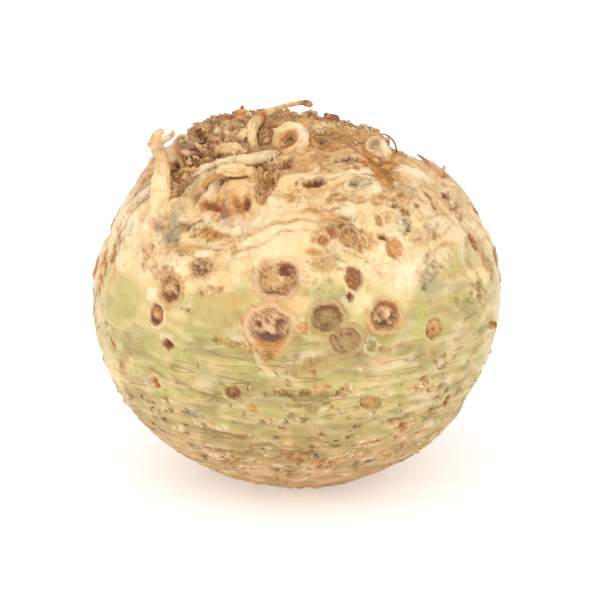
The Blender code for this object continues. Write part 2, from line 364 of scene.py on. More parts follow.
# smooth skin, without roughness: azimuth, latitude, width, height, tilt, swelling (mm), tone
swells = [
    (-3.7, 31.0, 24.0, 15.0, 3, 0.7, "cream"),
    (34.0, 20.5, 16.0, 9.0, 24, 0.5, "brightCream"),
    (43.5, 44.0, 13.0, 6.5, -28, 1.2, "brightCream"),
    (50.0, 31.5, 9.0, 7.0, 0, 0.8, "paleFlake"),
    (57.0, 27.0, 12.0, 6.0, -6, 0.6, "paleFlake"),
    (31.0, 46.5, 4.0, 9.0, -8, 0.3, "brightCream"),
    (16.5, 50.0, 12.0, 4.0, 8, 0.5, "cream"),
    (-2.5, 49.0, 10.0, 6.0, 5, 0.7, "peach"),
    (-51.5, 33.0, 5.6, 16.0, -16, 1.2, "brightCream"),
    (-49.5, 31.5, 5.0, 4.0, 0, 0.3, "pink"),
    (-23.0, 45.6, 8.6, 7.6, 0, 1.7, "peach"),
    (-23.6, 40.6, 4.4, 6.6, 8, 0.7, "orange"),
    (-27.5, 37.6, 4.0, 2.4, -20, 0.3, "orange"),
    (-23.6, 36.2, 3.6, 1.8, -16, 0.2, "lilac"),
    (-27.5, 33.0, 6.0, 3.0, 0, 0.3, "orange"),
    (-31.0, 27.2, 9.0, 2.2, 0, 0.2, "ochre"),
    (60.0, 48.8, 17.0, 7.0, -30, 1.1, "brightCream"),
    (38.0, 15.5, 11.0, 8.0, 0, 0.2, "greyGreen"),
    (2.0, 50.6, 14.0, 5.0, 6, 0.8, "cream"),
    (6.4, 47.2, 10.0, 5.4, 12, 0.1, "orange"),
    (29.0, 51.8, 11.0, 5.0, -6, 0.4, "brightCream"),
    (-19.2, 36.9, 2.6, 1.8, 0, 0.3, "lilac"),
    (-62.0, 27.0, 12.0, 14.0, -10, 0.5, "brightCream"),
    (-53.0, 12.0, 16.0, 11.0, 0, 0.5, "green"),
    (-19.0, 14.5, 10.0, 6.0, -8, 0.5, "tan"),
    (-42.5, 13.0, 5.0, 5.0, 0, 0.7, "brightCream"),
    (-36.5, 2.5, 5.5, 3.0, 0, 0.6, "paleFlake"),
    (-5.5, -2.4, 10.0, 5.4, 0, 0.8, "lowGreen"),
    (5.0, -1.0, 17.0, 8.0, 4, 0.5, "lowTan"),
    (17.5, 14.0, 6.0, 6.5, -20, 0.5, "cream"),
    (22.0, -2.0, 7.0, 4.5, 10, 0.4, "pinkTan"),
    (60.0, 14.0, 12.0, 7.0, 0, 0.6, "cream"),
    (0.0, 14.5, 8.0, 7.0, 0, 0.3, "peach"),
    (-58.0, 1.0, 14.0, 12.0, 0, 0.4, "green"),
    (-23.0, 12.0, 14.0, 14.0, 0, 0.5, "lowGreen"),
    (34.5, 7.5, 5.0, 14.0, -14, 0.4, "freshGreen"),
    (-66.0, -14.0, 14.0, 12.0, 0, 0.5, "cream"),
    (40.0, -14.5, 9.0, 5.0, 10, 0.6, "pinkTan"),
    (-21.5, -21.5, 12.0, 4.0, -6, 0.4, "freshGreen"),
]

# furrows (-) and welts (+): depth or height (mm), width, tone, how strong, then azimuth and latitude pairs
furrows = [
    (-0.5, 0.55, "rust", 0.8, [(-24, 28), (-15, 31.5), (-6, 35.5), (0, 36.6), (7, 36.5)]),
    (-0.4, 0.5, "scarBrown", 0.8, [(-21, 26), (-12, 29), (-4, 33), (6, 34.5)]),
    (-0.6, 0.6, "rust", 0.9, [(-2, 38.4), (5, 39.8), (11, 39.8), (17, 40.2)]),
    (-0.5, 0.55, "scarBrown", 0.7, [(1, 36.3), (7, 36.2), (12, 36.6), (17, 37.0)]),
    (1.9, 2.5, "bandTan", 0.95,
     [(-39.5, 54), (-41, 50), (-42.5, 46), (-43.2, 41), (-43.2, 36), (-42.4, 31)]),
    (0.0, 2.2, "greyGreen", 0.5, [(-41.5, 48), (-42.8, 44), (-43.2, 40)]),
    (0.3, 2.0, "smoke", 0.8, [(-43.4, 36), (-42.0, 32.5), (-42.0, 30), (-43.5, 28)]),
    (-0.7, 0.9, "umber", 0.9, [(-48, 53), (-46.6, 48), (-46.6, 43), (-47, 39)]),
    (-1.0, 0.8, "umber", 0.9, [(-35.5, 54), (-36, 50), (-37.5, 45.5), (-39.4, 41.5), (-39.8, 38)]),
    (-1.1, 0.9, "umber", 0.9, [(-19, 54.6), (-26, 53.4), (-31, 50.5), (-32.6, 46.5), (-32.8, 43)]),
    (0.6, 1.4, "peach", 0.7, [(-33, 52.4), (-35, 48), (-36, 44)]),
    (-1.2, 1.2, "rust", 1.0, [(-37.4, 38.4), (-34, 39.4), (-31, 40.4), (-28, 39.2), (-26, 37.2)]),
    (1.0, 1.3, "orange", 0.9, [(-24.4, 44), (-23.2, 41), (-22.4, 37.6)]),
    (-1.0, 0.8, "rust", 0.9, [(-21.4, 43), (-20.4, 40.4), (-20, 37.6)]),
    (-0.9, 0.8, "maroon", 0.9, [(-27.6, 42), (-26.6, 39.6), (-25.6, 37.6)]),
    (1.4, 1.3, "peach", 1.0, [(-20, 52), (-17.6, 49), (-16.4, 45.4), (-14.6, 41.4), (-12.6, 38)]),
    (0.5, 1.3, "lilac", 1.0, [(-25, 35.6), (-22.4, 34.6), (-19.4, 33.9), (-16.6, 35.2)]),
    (0.6, 1.1, "paleFlake", 0.9,
     [(-30, 35.6), (-26, 33.4), (-20.4, 32.2), (-15, 34), (-12, 37), (-10.5, 40)]),
    (-0.5, 0.5, "scarBrown", 0.8, [(-27, 31.4), (-20, 30.4), (-14, 33), (-9, 36.6)]),
    (-0.5, 0.5, "scarBrown", 0.7, [(-33, 27.6), (-25, 27.0), (-17, 28.6)]),
    (-0.5, 1.3, "orange", 0.8, [(1.0, 39.8), (6.0, 39.0), (12.0, 36.4)]),
    (-0.7, 0.6, "umber", 1.2, [(10.5, 38.6), (14, 37.6), (16.5, 36.4), (19.5, 36.0)]),
    (-0.5, 0.6, "ochre", 1.1, [(9, 42.6), (14, 42.6), (20.8, 41.2), (26, 41.4)]),
    (-0.5, 0.5, "scarBrown", 0.6, [(41, 34.4), (47, 33.6), (54, 34.0), (60, 33.4)]),
    (-0.5, 0.5, "umber", 0.6, [(34, 28.7), (42, 28.0), (50, 28.0), (58, 29.5)]),
    (0.5, 1.0, "pinkTan", 0.5, [(33, 30.0), (42, 29.3), (50, 29.5), (58, 31.0)]),
    (-0.6, 0.9, "rust", 0.4, [(34, 19), (40, 23.5), (47, 25.5), (56, 25.5)]),
    (-0.5, 1.8, "fibre", 0.9, [(40, 57), (41, 52), (40.5, 48), (38, 43)]),
    (-0.4, 0.5, "scarBrown", 0.7, [(14, 50), (19, 52.6), (26, 53.6), (32, 52)]),
    (-0.5, 0.55, "scarBrown", 0.8, [(9, 46), (14, 49.2), (20, 50.8), (27, 50.6)]),
    (-0.4, 0.5, "scarBrown", 0.8, [(12, 44.5), (16, 47.2), (21, 48.6)]),
    (-0.6, 0.9, "umber", 0.6, [(15.5, 24), (17.5, 19), (17, 15.5)]),
    (-0.5, 0.8, "umber", 0.7, [(-46, -7), (-40, -8.4), (-33, -10), (-26, -12.4), (-19.5, -13.6)]),
    (-0.4, 0.7, "olive", 0.6, [(-40, -11), (-34, -12.4), (-28, -14.4)]),
    (-0.6, 0.9, "umber", 0.8, [(-29, -24.5), (-24, -25.4), (-18, -25.8), (-13, -25.0)]),
    (-0.5, 0.8, "olive", 0.7, [(-13, -24.7), (-7, -24.6), (0, -25.2), (6, -24.8)]),
    (-0.7, 1.0, "olive", 0.8, [(-25, -31.8), (-17, -32.6), (-10, -32.2), (-4, -30.6)]),
    (-0.7, 0.9, "umber", 0.7, [(5.5, 2.4), (11, 0.7), (16, 0.2), (21, 0.8), (26, 2.0)]),
    (-0.4, 0.7, "umber", 0.5, [(7, -5), (12, -4.2), (17, -4.4)]),
    (-0.5, 0.8, "rust", 0.5, [(21, 0.5), (27, 1.2), (33, 1.0)]),
    (-0.6, 0.9, "greyGreen", 0.6, [(40, -0.8), (48, -1.2), (57, 0.2), (64, 1.4)]),
    (-0.5, 0.8, "olive", 0.6,
     [(44, 9.5), (47, 12), (52, 13.4), (58, 12.6), (61, 9), (60, 5), (54, 2.8)]),
    (-0.5, 0.8, "umber", 0.7, [(25, -21.6), (31, -21.0), (37, -20.6)]),
    (-0.5, 0.8, "smoke", 0.5, [(16, -19.5), (24, -18.6), (32, -17.6)]),
    (0.6, 1.1, "paleFlake", 0.6,
     [(-12, 3.0), (-10, -0.5), (-6.2, -4.6), (-2, -1.5), (3, 1.4), (10, 2.0)]),
    (0.5, 1.0, "brightCream", 0.6, [(20, 17), (19, 13.5), (20.5, 10.5)]),
    (-0.8, 0.7, "umber", 0.9, [(-60, 41), (-64, 35), (-66, 30), (-66, 25)]),
    (1.0, 2.2, "brightCream", 1.0, [(-60, 46), (-66, 38), (-71, 31), (-77, 23)]),
    (0.9, 2.4, "brightCream", 1.0, [(-59, 34), (-61, 28), (-61, 21), (-60, 15)]),
    (-0.5, 0.8, "ochre", 0.6, [(-62, 20), (-64, 13), (-64, 6)]),
    (1.2, 1.2, "amber", 0.8, [(22, 65), (30, 63), (38, 61.5), (46, 60)]),
    (1.0, 0.8, "bandTan", 0.8, [(14, 60.6), (23, 61.0), (33, 60.8), (44, 59.6)]),
    (1.3, 0.9, "amber", 0.9, [(15, 58.0), (22, 58.4), (31, 58.2), (39, 57.6)]),
    (1.0, 0.9, "peach", 0.8, [(6, 61.5), (14, 63), (22, 63.2)]),
    (-0.9, 0.7, "scarBrown", 0.6, [(16, 56.2), (21, 56.4), (26, 56.6), (31, 56.3), (36, 55.8)]),
    # painted shade: a thin darkBrown line along the slit's upper wall, where the slit lies in shadow
    (-0.6, 0.4, "darkBrown", 1.6, [(17, 57.0), (21, 57.2), (26, 57.3), (31, 57.1), (35, 56.6)]),
    (-0.9, 0.6, "umber", 0.9, [(25, 61.9), (31, 61.8), (38, 61)]),
]

# growth rings that cross the lower half: latitude at the front and how far (degrees) it sags to the sides
ringGrooves = [
    (3.6, 1.0), (-0.6, 1.4), (-4.8, 1.6), (-9.6, 1.2), (-12.8, 1.4), (-16.2, 1.6), (-20.4, 1.4),
    (-24.9, 1.2), (-29.1, 1.4), (-33.4, 1.2), (-38.6, 1.0), (-44.8, 1.0), (-51.8, 0.8), (-59.0, 0.6),
]

# broad dents (-) and rises of the whole form: azimuth, latitude, width, height, rise (mm)
dents = [
    (98, 57, 13, 13, -2.0), (-96, 74, 13, 11, -2.2), (112, 54, 40, 28, -4.2), (128, 68, 26, 20, -2.4),
    (-92, 27, 34, 26, -1.8), (95, 22, 26, 24, -0.8),
]

# torn lumps of the root end: azimuth, latitude, width, height, tilt, rise (mm), tone
crustLumps = [
    (-66, 68.5, 8, 6, 10, 1.6, "peach"), (-44, 65.7, 7, 6, 20, 1.7, "peach"),
    (-31.5, 61.7, 6, 5, 0, 1.5, "pinkTan"), (-41, 74, 7, 6, 0, 1.2, "tan"),
    (-92, 66.5, 6, 4, 0, -0.4, "maroon"), (-69, 59.6, 5, 4, 0, -0.8, "maroon"),
    (-64, 56, 8, 5, 20, 1.4, "grey"), (-83, 68, 6, 5, 0, 0.8, "rust"), (-55, 62, 7, 4, 10, 1.8, "tan"),
    (-47, 59.5, 6, 3, -10, 1.4, "peach"), (-91, 60, 7, 6, 0, 0.6, "pinkTan"),
    (-60, 50, 6, 6, 20, 1.2, "ochre"), (-75, 63, 8, 4, -15, 0.4, "scarTan"),
    (-100, 66, 8, 6, 0, 0.4, "peach"), (-27, 69, 6, 4, 0, 1.6, "ochre"), (-20, 62, 5, 4, 0, 1.6, "tan"),
    (-60, 74, 7, 4, 0, -1.2, "rust"), (-100, 76, 9, 5, 0, -1.4, "scarTan"),
    (-36, 57.5, 6, 3, 20, 1.2, "peach"), (28, 65.5, 9, 5, 0, 1.0, "orange"),
    (34, 78, 12, 5, 0, 1.2, "paleFlake"), (27, 71, 4, 2, 0, 0.9, "paleFlake"),
    (45, 74, 8, 5, 20, 1.0, "ochre"), (10, 72, 8, 5, 0, 1.2, "tan"), (-5, 66, 7, 4, 0, 1.2, "fibre"),
    (2, 60, 7, 4, 10, 1.0, "peach"), (52, 64, 8, 4, -20, 0.8, "tan"), (75, 70, 9, 5, 0, 0.6, "peach"),
    (100, 74, 10, 6, 0, 0.4, "tan"), (150, 70, 12, 7, 0, -0.6, "scarTan"),
    (-140, 68, 12, 7, 0, 0.4, "tan"), (-170, 60, 10, 6, 0, 1.6, "peach"),
    (175, 78, 16, 12, 0, -2.2, "ochre"), (-56, 47, 8, 7, 0, 1.6, "ochre"),
    (-50, 43, 4, 4, 0, 1.4, "scarTan"), (-14, 48, 5, 12, 0, 1.9, "fibre"),
    (40, 51, 7, 12, 0, 0.9, "orange"), (120, 60, 9, 5, 0, 1.2, "scarTan"),
    (-120, 58, 9, 6, 0, 0.4, "pinkTan"), (-78, 56, 6, 4, 0, 1.0, "paleFlake"),
    # the dark lumps from here on, most of them sunken, are the mat's deepest cavities: their tones are
    # partly their own brown and partly painted shade
    (-92, 57, 8, 5, 0, -0.6, "smoke"), (-74, 62, 8, 4, -10, -0.9, "umber"),
    (-60, 59, 7, 3.4, 0, -1.1, "maroon"), (-46.5, 55.3, 5, 3.6, 0, -1.1, "darkBrown"),
    (-92, 66.5, 7, 3, 0, -0.8, "maroon"), (-49, 69, 6, 3, 20, -1.0, "umber"),
    (-57, 47, 8, 5, 0, 0.2, "scarBrown"), (-66, 50, 4, 6, 0, -0.9, "darkBrown"),
    (-33, 65.5, 5, 2.4, 0, -0.9, "umber"),
]

# lower edge of the matted root end: azimuth and latitude, all the way round
crustEdge = [
    (-180, 48), (-145, 45), (-112, 52), (-90, 57), (-73, 53), (-66, 47), (-57, 43), (-49, 40),
    (-46, 43), (-44.5, 48), (-42.5, 52), (-34, 55), (-21, 56), (-18.5, 53.5), (-15.5, 45), (-13, 41.5),
    (-10, 45.5), (-7.5, 52), (-3, 53.8), (4, 55), (11, 56.4), (17, 58.6), (28, 59.4), (32, 58.4),
    (36.5, 47.5), (38, 43.8), (41, 46.5), (46, 50), (52, 52.5), (60, 54.5), (85, 56), (102, 52),
    (125, 52), (150, 44), (180, 48),
]

field = {}                          # point by point values of the mesh while it is shaped


def directionAt(azimuth, latitude):
    turn, rise = math.radians(azimuth), math.radians(latitude)
    return np.array([math.sin(turn) * math.cos(rise), -math.cos(turn) * math.cos(rise), math.sin(rise)])


def layBakeMap(mesh, grid):
    # the six sides of the cube lie in a three by two layout, so that a bake covers the skin evenly
    margin = 0.01
    layer = mesh.uv_layers.active
    layer.name = "OFBake"
    uv = np.empty((len(mesh.loops), 2))
    for face in mesh.polygons:
        middle = face.center
        axis = max(range(3), key=lambda i: abs(middle[i]))
        row = 0 if middle[axis] > 0 else 1
        across, up = [i for i in range(3) if i != axis]
        for loop in face.loop_indices:
            spot = margin + (0.5 - margin) * (grid[mesh.loops[loop].vertex_index] + 1)
            uv[loop] = (axis + spot[across]) / 3, (row + spot[up]) / 2
    layer.data.foreach_set("uv", uv.ravel())


def gatherToward(ball, toward, scale):
    # draws the grid on a unit ball together round one direction, keeping its cells square
    rise = ball @ toward
    flat = (ball - rise[:, None] * toward) / (1 + rise)[:, None] * scale
    square = np.einsum("ij,ij->i", flat, flat)[:, None]
    return (2 * flat + (1 - square) * toward) / (1 + square)


def startSkin():
    # a cube's grid becomes a ball, and is shrunk onto the CAD root and relaxed
    deselect()
    bpy.ops.mesh.primitive_cube_add(size=2, location=centre * mm)
    skin = bpy.context.object
    skin.name = "celeriacSkin"
    startEdit(skin)
    bpy.ops.mesh.subdivide(number_cuts=skinSettings["cuts"])
    endEdit()
    grid = getPoints(skin.data)
    layBakeMap(skin.data, grid)
    ball = np.tan(grid * math.pi / 4)
    ball /= np.linalg.norm(ball, axis=1)[:, None]
    toward = directionAt(*skinSettings["gatherAt"])
    setPoints(skin.data, gatherToward(ball, toward, skinSettings["gather"]) * skinSettings["cast"])
    skin.data.shade_smooth()
    applyModifier(skin, "SHRINKWRAP", target=bpy.data.objects["swollen_root"], wrap_method="PROJECT",
                  use_negative_direction=True, use_positive_direction=False)
    applyModifier(skin, "SMOOTH", factor=0.5, iterations=skinSettings["smoothing"])
    bpy.ops.object.transform_apply(location=True, rotation=True, scale=True)
    return skin


def markPlace(azimuth, latitude):
    outside = Vector(centre) + 100 * Vector(directionAt(azimuth, latitude))
    spot, normal, face, gap = bareTree.ray_cast(outside, Vector(centre) - outside)
    return np.array(spot), np.array(normal)


def nearMark(azimuth, latitude, wide, tall, tilt, reach=1.8, wobble=0.14, seed=0.0):
    # the points near a mark, how far across (u) and up (v) they are in mm, and their radius, which is 1 on
    # the mark's wavering outline, and angle
    origin, normal = markPlace(azimuth, latitude)
    right = np.cross((0, 0, 1), normal)
    right /= np.linalg.norm(right)
    up = np.cross(normal, right)
    offset = field["points"] - origin
    near = np.where(np.einsum("ij,ij->i", offset, offset) < (max(wide, tall) / 2 * reach) ** 2)[0]
    offset = offset[near].reshape(-1, 3)
    turn = math.radians(tilt)
    across, along = offset @ right, offset @ up
    u = across * math.cos(turn) + along * math.sin(turn)
    v = along * math.cos(turn) - across * math.sin(turn)
    radius = np.hypot(2 * u / wide, 2 * v / tall)
    angle = np.arctan2(v / tall, u / wide)
    loop = np.stack([np.cos(angle), np.sin(angle), np.full(len(angle), seed * 1.7)], axis=1).reshape(-1, 3)
    radius = radius * (1 + wobble * grain(loop, 0.6, seed) + 0.5 * wobble * grain(loop, 0.25, seed))
    return near, u, v, radius, angle


def paint(near, amount, tone):
    amount = np.clip(amount, 0, 1)[:, None]
    field["tone"][near] += (palette[tone] - field["tone"][near]) * amount


def paintAll(near, *coats):
    for amount, tone in coats:
        paint(near, amount, tone)


def lift(near, height):
    field["height"][near] += height


def raiseTo(name, near, least):
    field[name][near] = np.maximum(field[name][near], least)


def makeCutScar(azimuth, latitude, wide, tall, tilt, collar, ring, core, extras, seed):
    near, u, v, radius, angle = nearMark(azimuth, latitude, wide, tall, tilt, seed=seed)
    spots = field["points"][near]
    fine, coarse, patchy = grain(spots, 0.8, seed), grain(spots, 1.7, seed + 5), grain(spots, 3.4, seed + 8)
    thin, deep = max(0.10, 1.0 / wide), min(1.0, wide / 9)
    lean = 0.5 + 0.5 * np.cos(angle + math.radians(125) + 0.4 * seed)   # 1 on the collar's higher side
    middle = smooth(0.72, 0.55, radius)
    speckled = bell((radius - 0.62) / 0.17) * smooth(0.0, 0.3, fine + 0.3 * patchy)
    lift(near, deep * ((0.25 + 0.7 * lean) * bell((radius - 1.15) / 0.18)
                       - 0.55 * bell((radius - 0.93) / thin)
                       - 0.35 * middle + 0.30 * coarse * middle - 0.55 * speckled))
    flush = "pink" if collar in ("pinkTan", "peach") else collar
    paintAll(near,
             ((0.5 + 0.5 * lean) * bell((radius - 1.17) / 0.24), collar),
             (0.75 * lean * bell((radius - 1.22) / 0.14), flush),
             ((0.25 + 0.6 * lean) * bell((radius - 1.4) / 0.05) * smooth(-0.4, 0.1, patchy), "scarBrown"),
             (0.9 * smooth(1.02, 0.92, radius), ring),
             ((0.65 + 0.6 * patchy) * bell((radius - 0.96) / (0.65 * thin)), "umber"),
             (0.85 * middle, core),
             (0.5 * smooth(0.95, 0.7, radius) * smooth(0.05, 0.4, coarse), collar),
             (0.9 * speckled, "umber"))
    if "fuzz" in extras:
        crumb = grain(spots, 0.6, seed + 2)
        burnt = bell((radius - 0.5) / 0.32) * smooth(-0.1, 0.12, coarse + 0.7 * crumb - 0.35 * v / tall)
        torn = (smooth(0.85, 0.5, radius + 0.4 * fine)
                * smooth(-0.12, 0.08, 0.6 * v / tall - coarse + 0.9 * crumb))
        lift(near, -0.7 * burnt + 0.6 * torn * (1 + fine))
        paintAll(near, (burnt, "darkBrown"), (torn, extras["fuzz"]))
    if "pit" in extras:
        east, north, size, tone = extras["pit"]
        hole = np.hypot(2 * u / wide - east, 2 * v / tall - north) / size + 0.25 * fine
        lift(near, -1.3 * deep * smooth(1.1, 0.4, hole))
        shade = 0.6 * smooth(0.9, 0.5, hole) * smooth(-0.2, 0.4, v / tall + 0.4 * coarse)
        paintAll(near, (smooth(1.15, 0.75, hole), tone), (shade, "darkBrown"))
    # crescents of another tone: from and to which height round the scar, radius, width, depth, strength
    for name, start, full, at, broad, depth, strength in (
            ("foot", -0.35, -0.75, 0.68, 0.2, 0.6, 1.4), ("drop", -0.5, -0.9, 1.05, 0.17, 0.0, 1.3),
            ("crown", 0.2, 0.7, 0.85, 0.2, 0.0, 1.2)):
        if name in extras:
            crescent = smooth(start, full, np.sin(angle)) * bell((radius - at) / broad)
            lift(near, -depth * crescent)
            paint(near, strength * crescent, extras[name])
    raiseTo("cork", near, 0.45 * smooth(1.0, 0.85, radius))
    field["place"][near, :2] = np.stack([u, v], axis=1)
    raiseTo("ring", near, smooth(1.25, 1.0, radius) * smooth(0.3, 0.6, radius))


def makeHollow(azimuth, latitude, wide, tall, tilt, depth, floor, wall, lip, seed):
    near, u, v, radius, angle = nearMark(azimuth, latitude, wide, tall, tilt, wobble=0.2, seed=seed)
    fine = grain(field["points"][near], 1.1, seed)
    under = 0.5 - 0.5 * np.sin(angle)
    lift(near, -depth * smooth(1.05, 0.35, radius) * (1 + 0.3 * fine)
         + (0.25 + 0.5 * under) * min(0.8, depth * 0.4) * bell((radius - 1.15) / 0.22))
    paintAll(near,
             (0.7 * bell((radius - 1.15) / 0.2), lip),
             (0.85 * smooth(1.08, 0.85, radius), wall),
             (0.9 * smooth(0.8, 0.5, radius) * smooth(-0.5, 0.1, fine), floor),
             (0.5 * smooth(0.9, 0.6, radius) * smooth(0.1, 0.5, fine), lip))
    # painted shade: darkBrown on the upper wall of deep hollows, which faces away from the light
    if depth > 1.2:
        paint(near, 0.6 * smooth(0.95, 0.5, radius) * smooth(0.0, 0.8, np.sin(angle)), "darkBrown")
    raiseTo("cork", near, 0.7 * smooth(1.0, 0.8, radius))


def makePatch(azimuth, latitude, wide, tall, tilt, rough, ground, deep, high, seed):
    near, u, v, radius, angle = nearMark(azimuth, latitude, wide, tall, tilt,
                                         reach=1.5, wobble=0.6, seed=seed)
    spots = field["points"][near]
    fine, coarse = grain(spots, 1.0, seed), grain(spots, 2.1, seed + 3)
    inside = smooth(1.15, 0.7, radius + 0.3 * coarse)
    bumps = 0.6 * fine + 0.7 * coarse
    lift(near, rough * inside * bumps * 1.3)
    paintAll(near,
             (0.75 * inside, ground),
             (0.85 * inside * smooth(-0.08, -0.4, bumps), deep),
             (0.85 * inside * smooth(0.04, 0.3, bumps), high))
    raiseTo("cork", near, 0.8 * inside)


def makeSwell(azimuth, latitude, wide, tall, tilt, height, tone, seed):
    near, u, v, radius, angle = nearMark(azimuth, latitude, wide, tall, tilt,
                                         reach=1.5, wobble=0.3, seed=seed)
    inside = smooth(1.2, 0.45, radius)
    lift(near, height * inside)
    paint(near, 0.8 * inside, tone)
    raiseTo("calm", near, inside)


def makeDent(azimuth, latitude, wide, tall, height, seed):
    near, u, v, radius, angle = nearMark(azimuth, latitude, wide, tall, 0, wobble=0.05, seed=seed)
    lift(near, height * smooth(1.1, 0.1, radius))


def makeFurrow(depth, wide, tone, strength, route, seed):
    spots = np.array([markPlace(azimuth, latitude)[0] for azimuth, latitude in route])
    middle = spots.mean(axis=0)
    span = np.linalg.norm(spots - middle, axis=1).max() + 4 * wide
    near = np.where(np.linalg.norm(field["points"] - middle, axis=1) < span)[0]
    if len(near) == 0:
        return
    here = field["points"][near]
    here = here + 0.7 * drift(here, 3.2, seed, seed + 7, seed + 9)
    gap, fade = np.full(len(near), np.inf), np.ones(len(near))
    for number, (start, end) in enumerate(zip(spots, spots[1:])):
        step = end - start
        t = np.clip((here - start) @ step / (step @ step), 0, 1)
        away = np.linalg.norm(here - start - t[:, None] * step, axis=1)
        closer = away < gap
        gap = np.where(closer, away, gap)
        fade = np.where(closer, (number + t) / (len(spots) - 1), fade)
    fade = smooth(0, 0.18, fade) * smooth(1, 0.82, fade) * (0.75 + 0.6 * grain(here, 2.4, seed + 2))
    lift(near, depth * bell(gap / wide) * fade)
    if depth < 0:
        lift(near, -0.45 * depth * bell((gap - 1.9 * wide) / (0.8 * wide)) * fade)
    paint(near, strength * bell(gap / (0.85 * wide)) * np.clip(fade, 0, 1), tone)


def arcUp(degrees):
    return degrees * math.radians(1) * skinSettings["radius"]


def makeRing(latitude, sag, seed):
    turn = np.radians(field["azimuth"])
    wander = 1.5 * grain(field["away"], 0.30, seed) + 0.5 * grain(field["away"], 0.1, seed)
    gap = arcUp(field["latitude"] - latitude - sag * (1 - np.cos(turn)) - wander)
    presence = smooth(-0.12, 0.3, grain(field["away"], 0.22, seed + 40))
    lift(everywhere, presence * (-0.38 * bell(gap / 0.55) + 0.18 * bell((gap - 1.3) / 0.9)))
    line = presence * bell(gap / 0.45) * smooth(-0.3, 0.25, grain(field["away"], 0.06, seed + 60))
    paint(everywhere, 0.5 * line, "olive" if latitude > skinSettings["footFrom"] else "umber")
    paint(everywhere, 0.25 * presence * bell((gap - 1.2) / 0.7), "paleFlake")


def strata(wide, tall):
    # skin coordinates for a pattern that runs along the growth rings; wide and tall are in mm
    points = field["points"]
    return np.stack([points[:, 0] / wide, points[:, 1] / wide, arcUp(field["latitude"]) / tall], axis=1)


def rightward():
    # 1 on the front right of the root end, 0 on the left and behind
    return smooth(-8, 10, field["azimuth"]) * smooth(85, 60, field["azimuth"])


def skinZones():
    # green below, cream in the middle, peach to the top and tan at the foot
    away, latitude, azimuth = field["away"], field["latitude"], field["azimuth"]
    broad, patchy, small = grain(away, 0.42, 3.1), grain(away, 0.20, 8.3), grain(away, 0.085, 12.9)
    band, streak = grain(strata(13, 4.6), 1.0, 17.2), grain(strata(6, 2.2), 1.0, 27.4)
    field["tone"][:] = palette["cream"]
    edge = (latitude + 11 * broad + 6 * patchy - 4 * smooth(30, 10, np.abs(azimuth + 3))
            + 3 * smooth(-15, -30, azimuth) - 3.5 * smooth(-8, -16, azimuth) * smooth(-62, -50, azimuth)
            - 9 * smooth(24, 38, azimuth) * smooth(110, 90, azimuth))
    low = smooth(15, 6, edge)
    right = smooth(12, 30, azimuth) * smooth(150, 120, azimuth)
    rim = smooth(58, 72, np.abs(azimuth)) * smooth(112, 95, np.abs(azimuth))
    high = smooth(26, 48, latitude + 9 * patchy)
    paintAll(everywhere,
             (smooth(19, 9, edge), "green"),
             (0.4 * low * right * smooth(-0.2, 0.2, patchy + 0.4 * broad), "bandTan"),
             (0.45 * low * smooth(0.0, 0.35, patchy), "freshGreen"),
             (0.40 * low * smooth(0.05, 0.4, -patchy + small), "cream"),
             (0.65 * low * smooth(0.0, 0.35, band), "greyGreen"),
             (0.4 * low * smooth(0.15, 0.45, band + 0.5 * patchy), "olive"),
             (0.5 * low * smooth(0.05, 0.4, streak), "lowTan"),
             (0.45 * low * smooth(0.12, 0.42, -streak), "paleFlake"),
             (0.45 * low * smooth(0.1, 0.4, -band - 0.4 * patchy), "freshGreen"),
             (smooth(-12, -34, latitude + 8 * patchy) * 0.7, "lowTan"),
             (smooth(-32, -56, latitude + 6 * patchy) * 0.8, "baseTan"),
             (0.6 * smooth(-22, -36, latitude + 5 * patchy) * smooth(0, 0.3, small), "pinkTan"),
             (0.6 * smooth(-24, -38, latitude + 5 * patchy) * smooth(0.1, 0.35, -small - streak), "scarTan"),
             (0.35 * smooth(-18, -34, latitude) * smooth(0.05, 0.3, -small + 0.4 * streak), "olive"),
             (0.5 * rim * smooth(-30, -10, latitude), "paleFlake"),
             (0.65 * high, "peach"),
             (0.3 * high * smooth(-0.1, 0.3, small), "tan"),
             (0.25 * smooth(0.05, 0.4, small), "peach"))
    # painted shade: the lower front is darkened by up to a tenth, where less light falls on it
    field["tone"][:] *= (1 - 0.10 * smooth(14, 2, latitude) * bell(azimuth / 70))[:, None]
    top = smooth(42, 52, latitude + 8 * patchy)
    paint(everywhere, 0.35 * top * smooth(-0.3, 0.2, patchy + small), "tan")


def crumple():
    # the upper half is pushed into soft folds and lumps between the smooth swellings
    latitude, points = field["latitude"], field["points"]
    zone = smooth(10, 24, latitude + 8 * grain(field["away"], 0.25, 61.0)) * (1 - 0.92 * field["calm"])
    warped = points + 3.0 * drift(points, 9.0, 1.5, 2.5, 3.5)
    folds = 1 - 2.6 * np.abs(grain(warped, 9.0, 63.0))
    crease = 1 - 3.2 * np.abs(grain(warped, 4.4, 66.0))
    lumps = grain(warped, 6.0, 69.0)
    upper = smooth(32, 48, latitude)
    lines = smooth(0.82, 0.97, crease)
    stain, spots = grain(warped, 7.5, 72.0), grain(warped, 3.6, 76.0)
    field["wild"][:] = zone
    lift(everywhere, zone * (1 + 0.3 * upper) * (0.4 * folds + 0.25 * crease + 0.5 * lumps - 0.2))
    paintAll(everywhere,
             (0.35 * zone * smooth(0.05, 0.35, stain), "tan"),
             (0.25 * zone * smooth(0.15, 0.4, spots), "scarTan"),
             (0.4 * zone * smooth(0.12, 0.4, -spots), "pinkTan"),
             (0.3 * zone * smooth(0.15, 0.45, grain(warped, 5.0, 81.0)), "greyGreen"),
             (0.45 * zone * lines * smooth(-0.2 - 0.3 * upper, 0.2, stain), "scarBrown"),
             (0.35 * zone * upper * smooth(0.7, 0.95, folds), "ochre"),
             # painted highlight: brightCream on the tops of the lumps
             (0.45 * zone * smooth(0.1, 0.5, lumps - 0.3 * stain), "brightCream"))


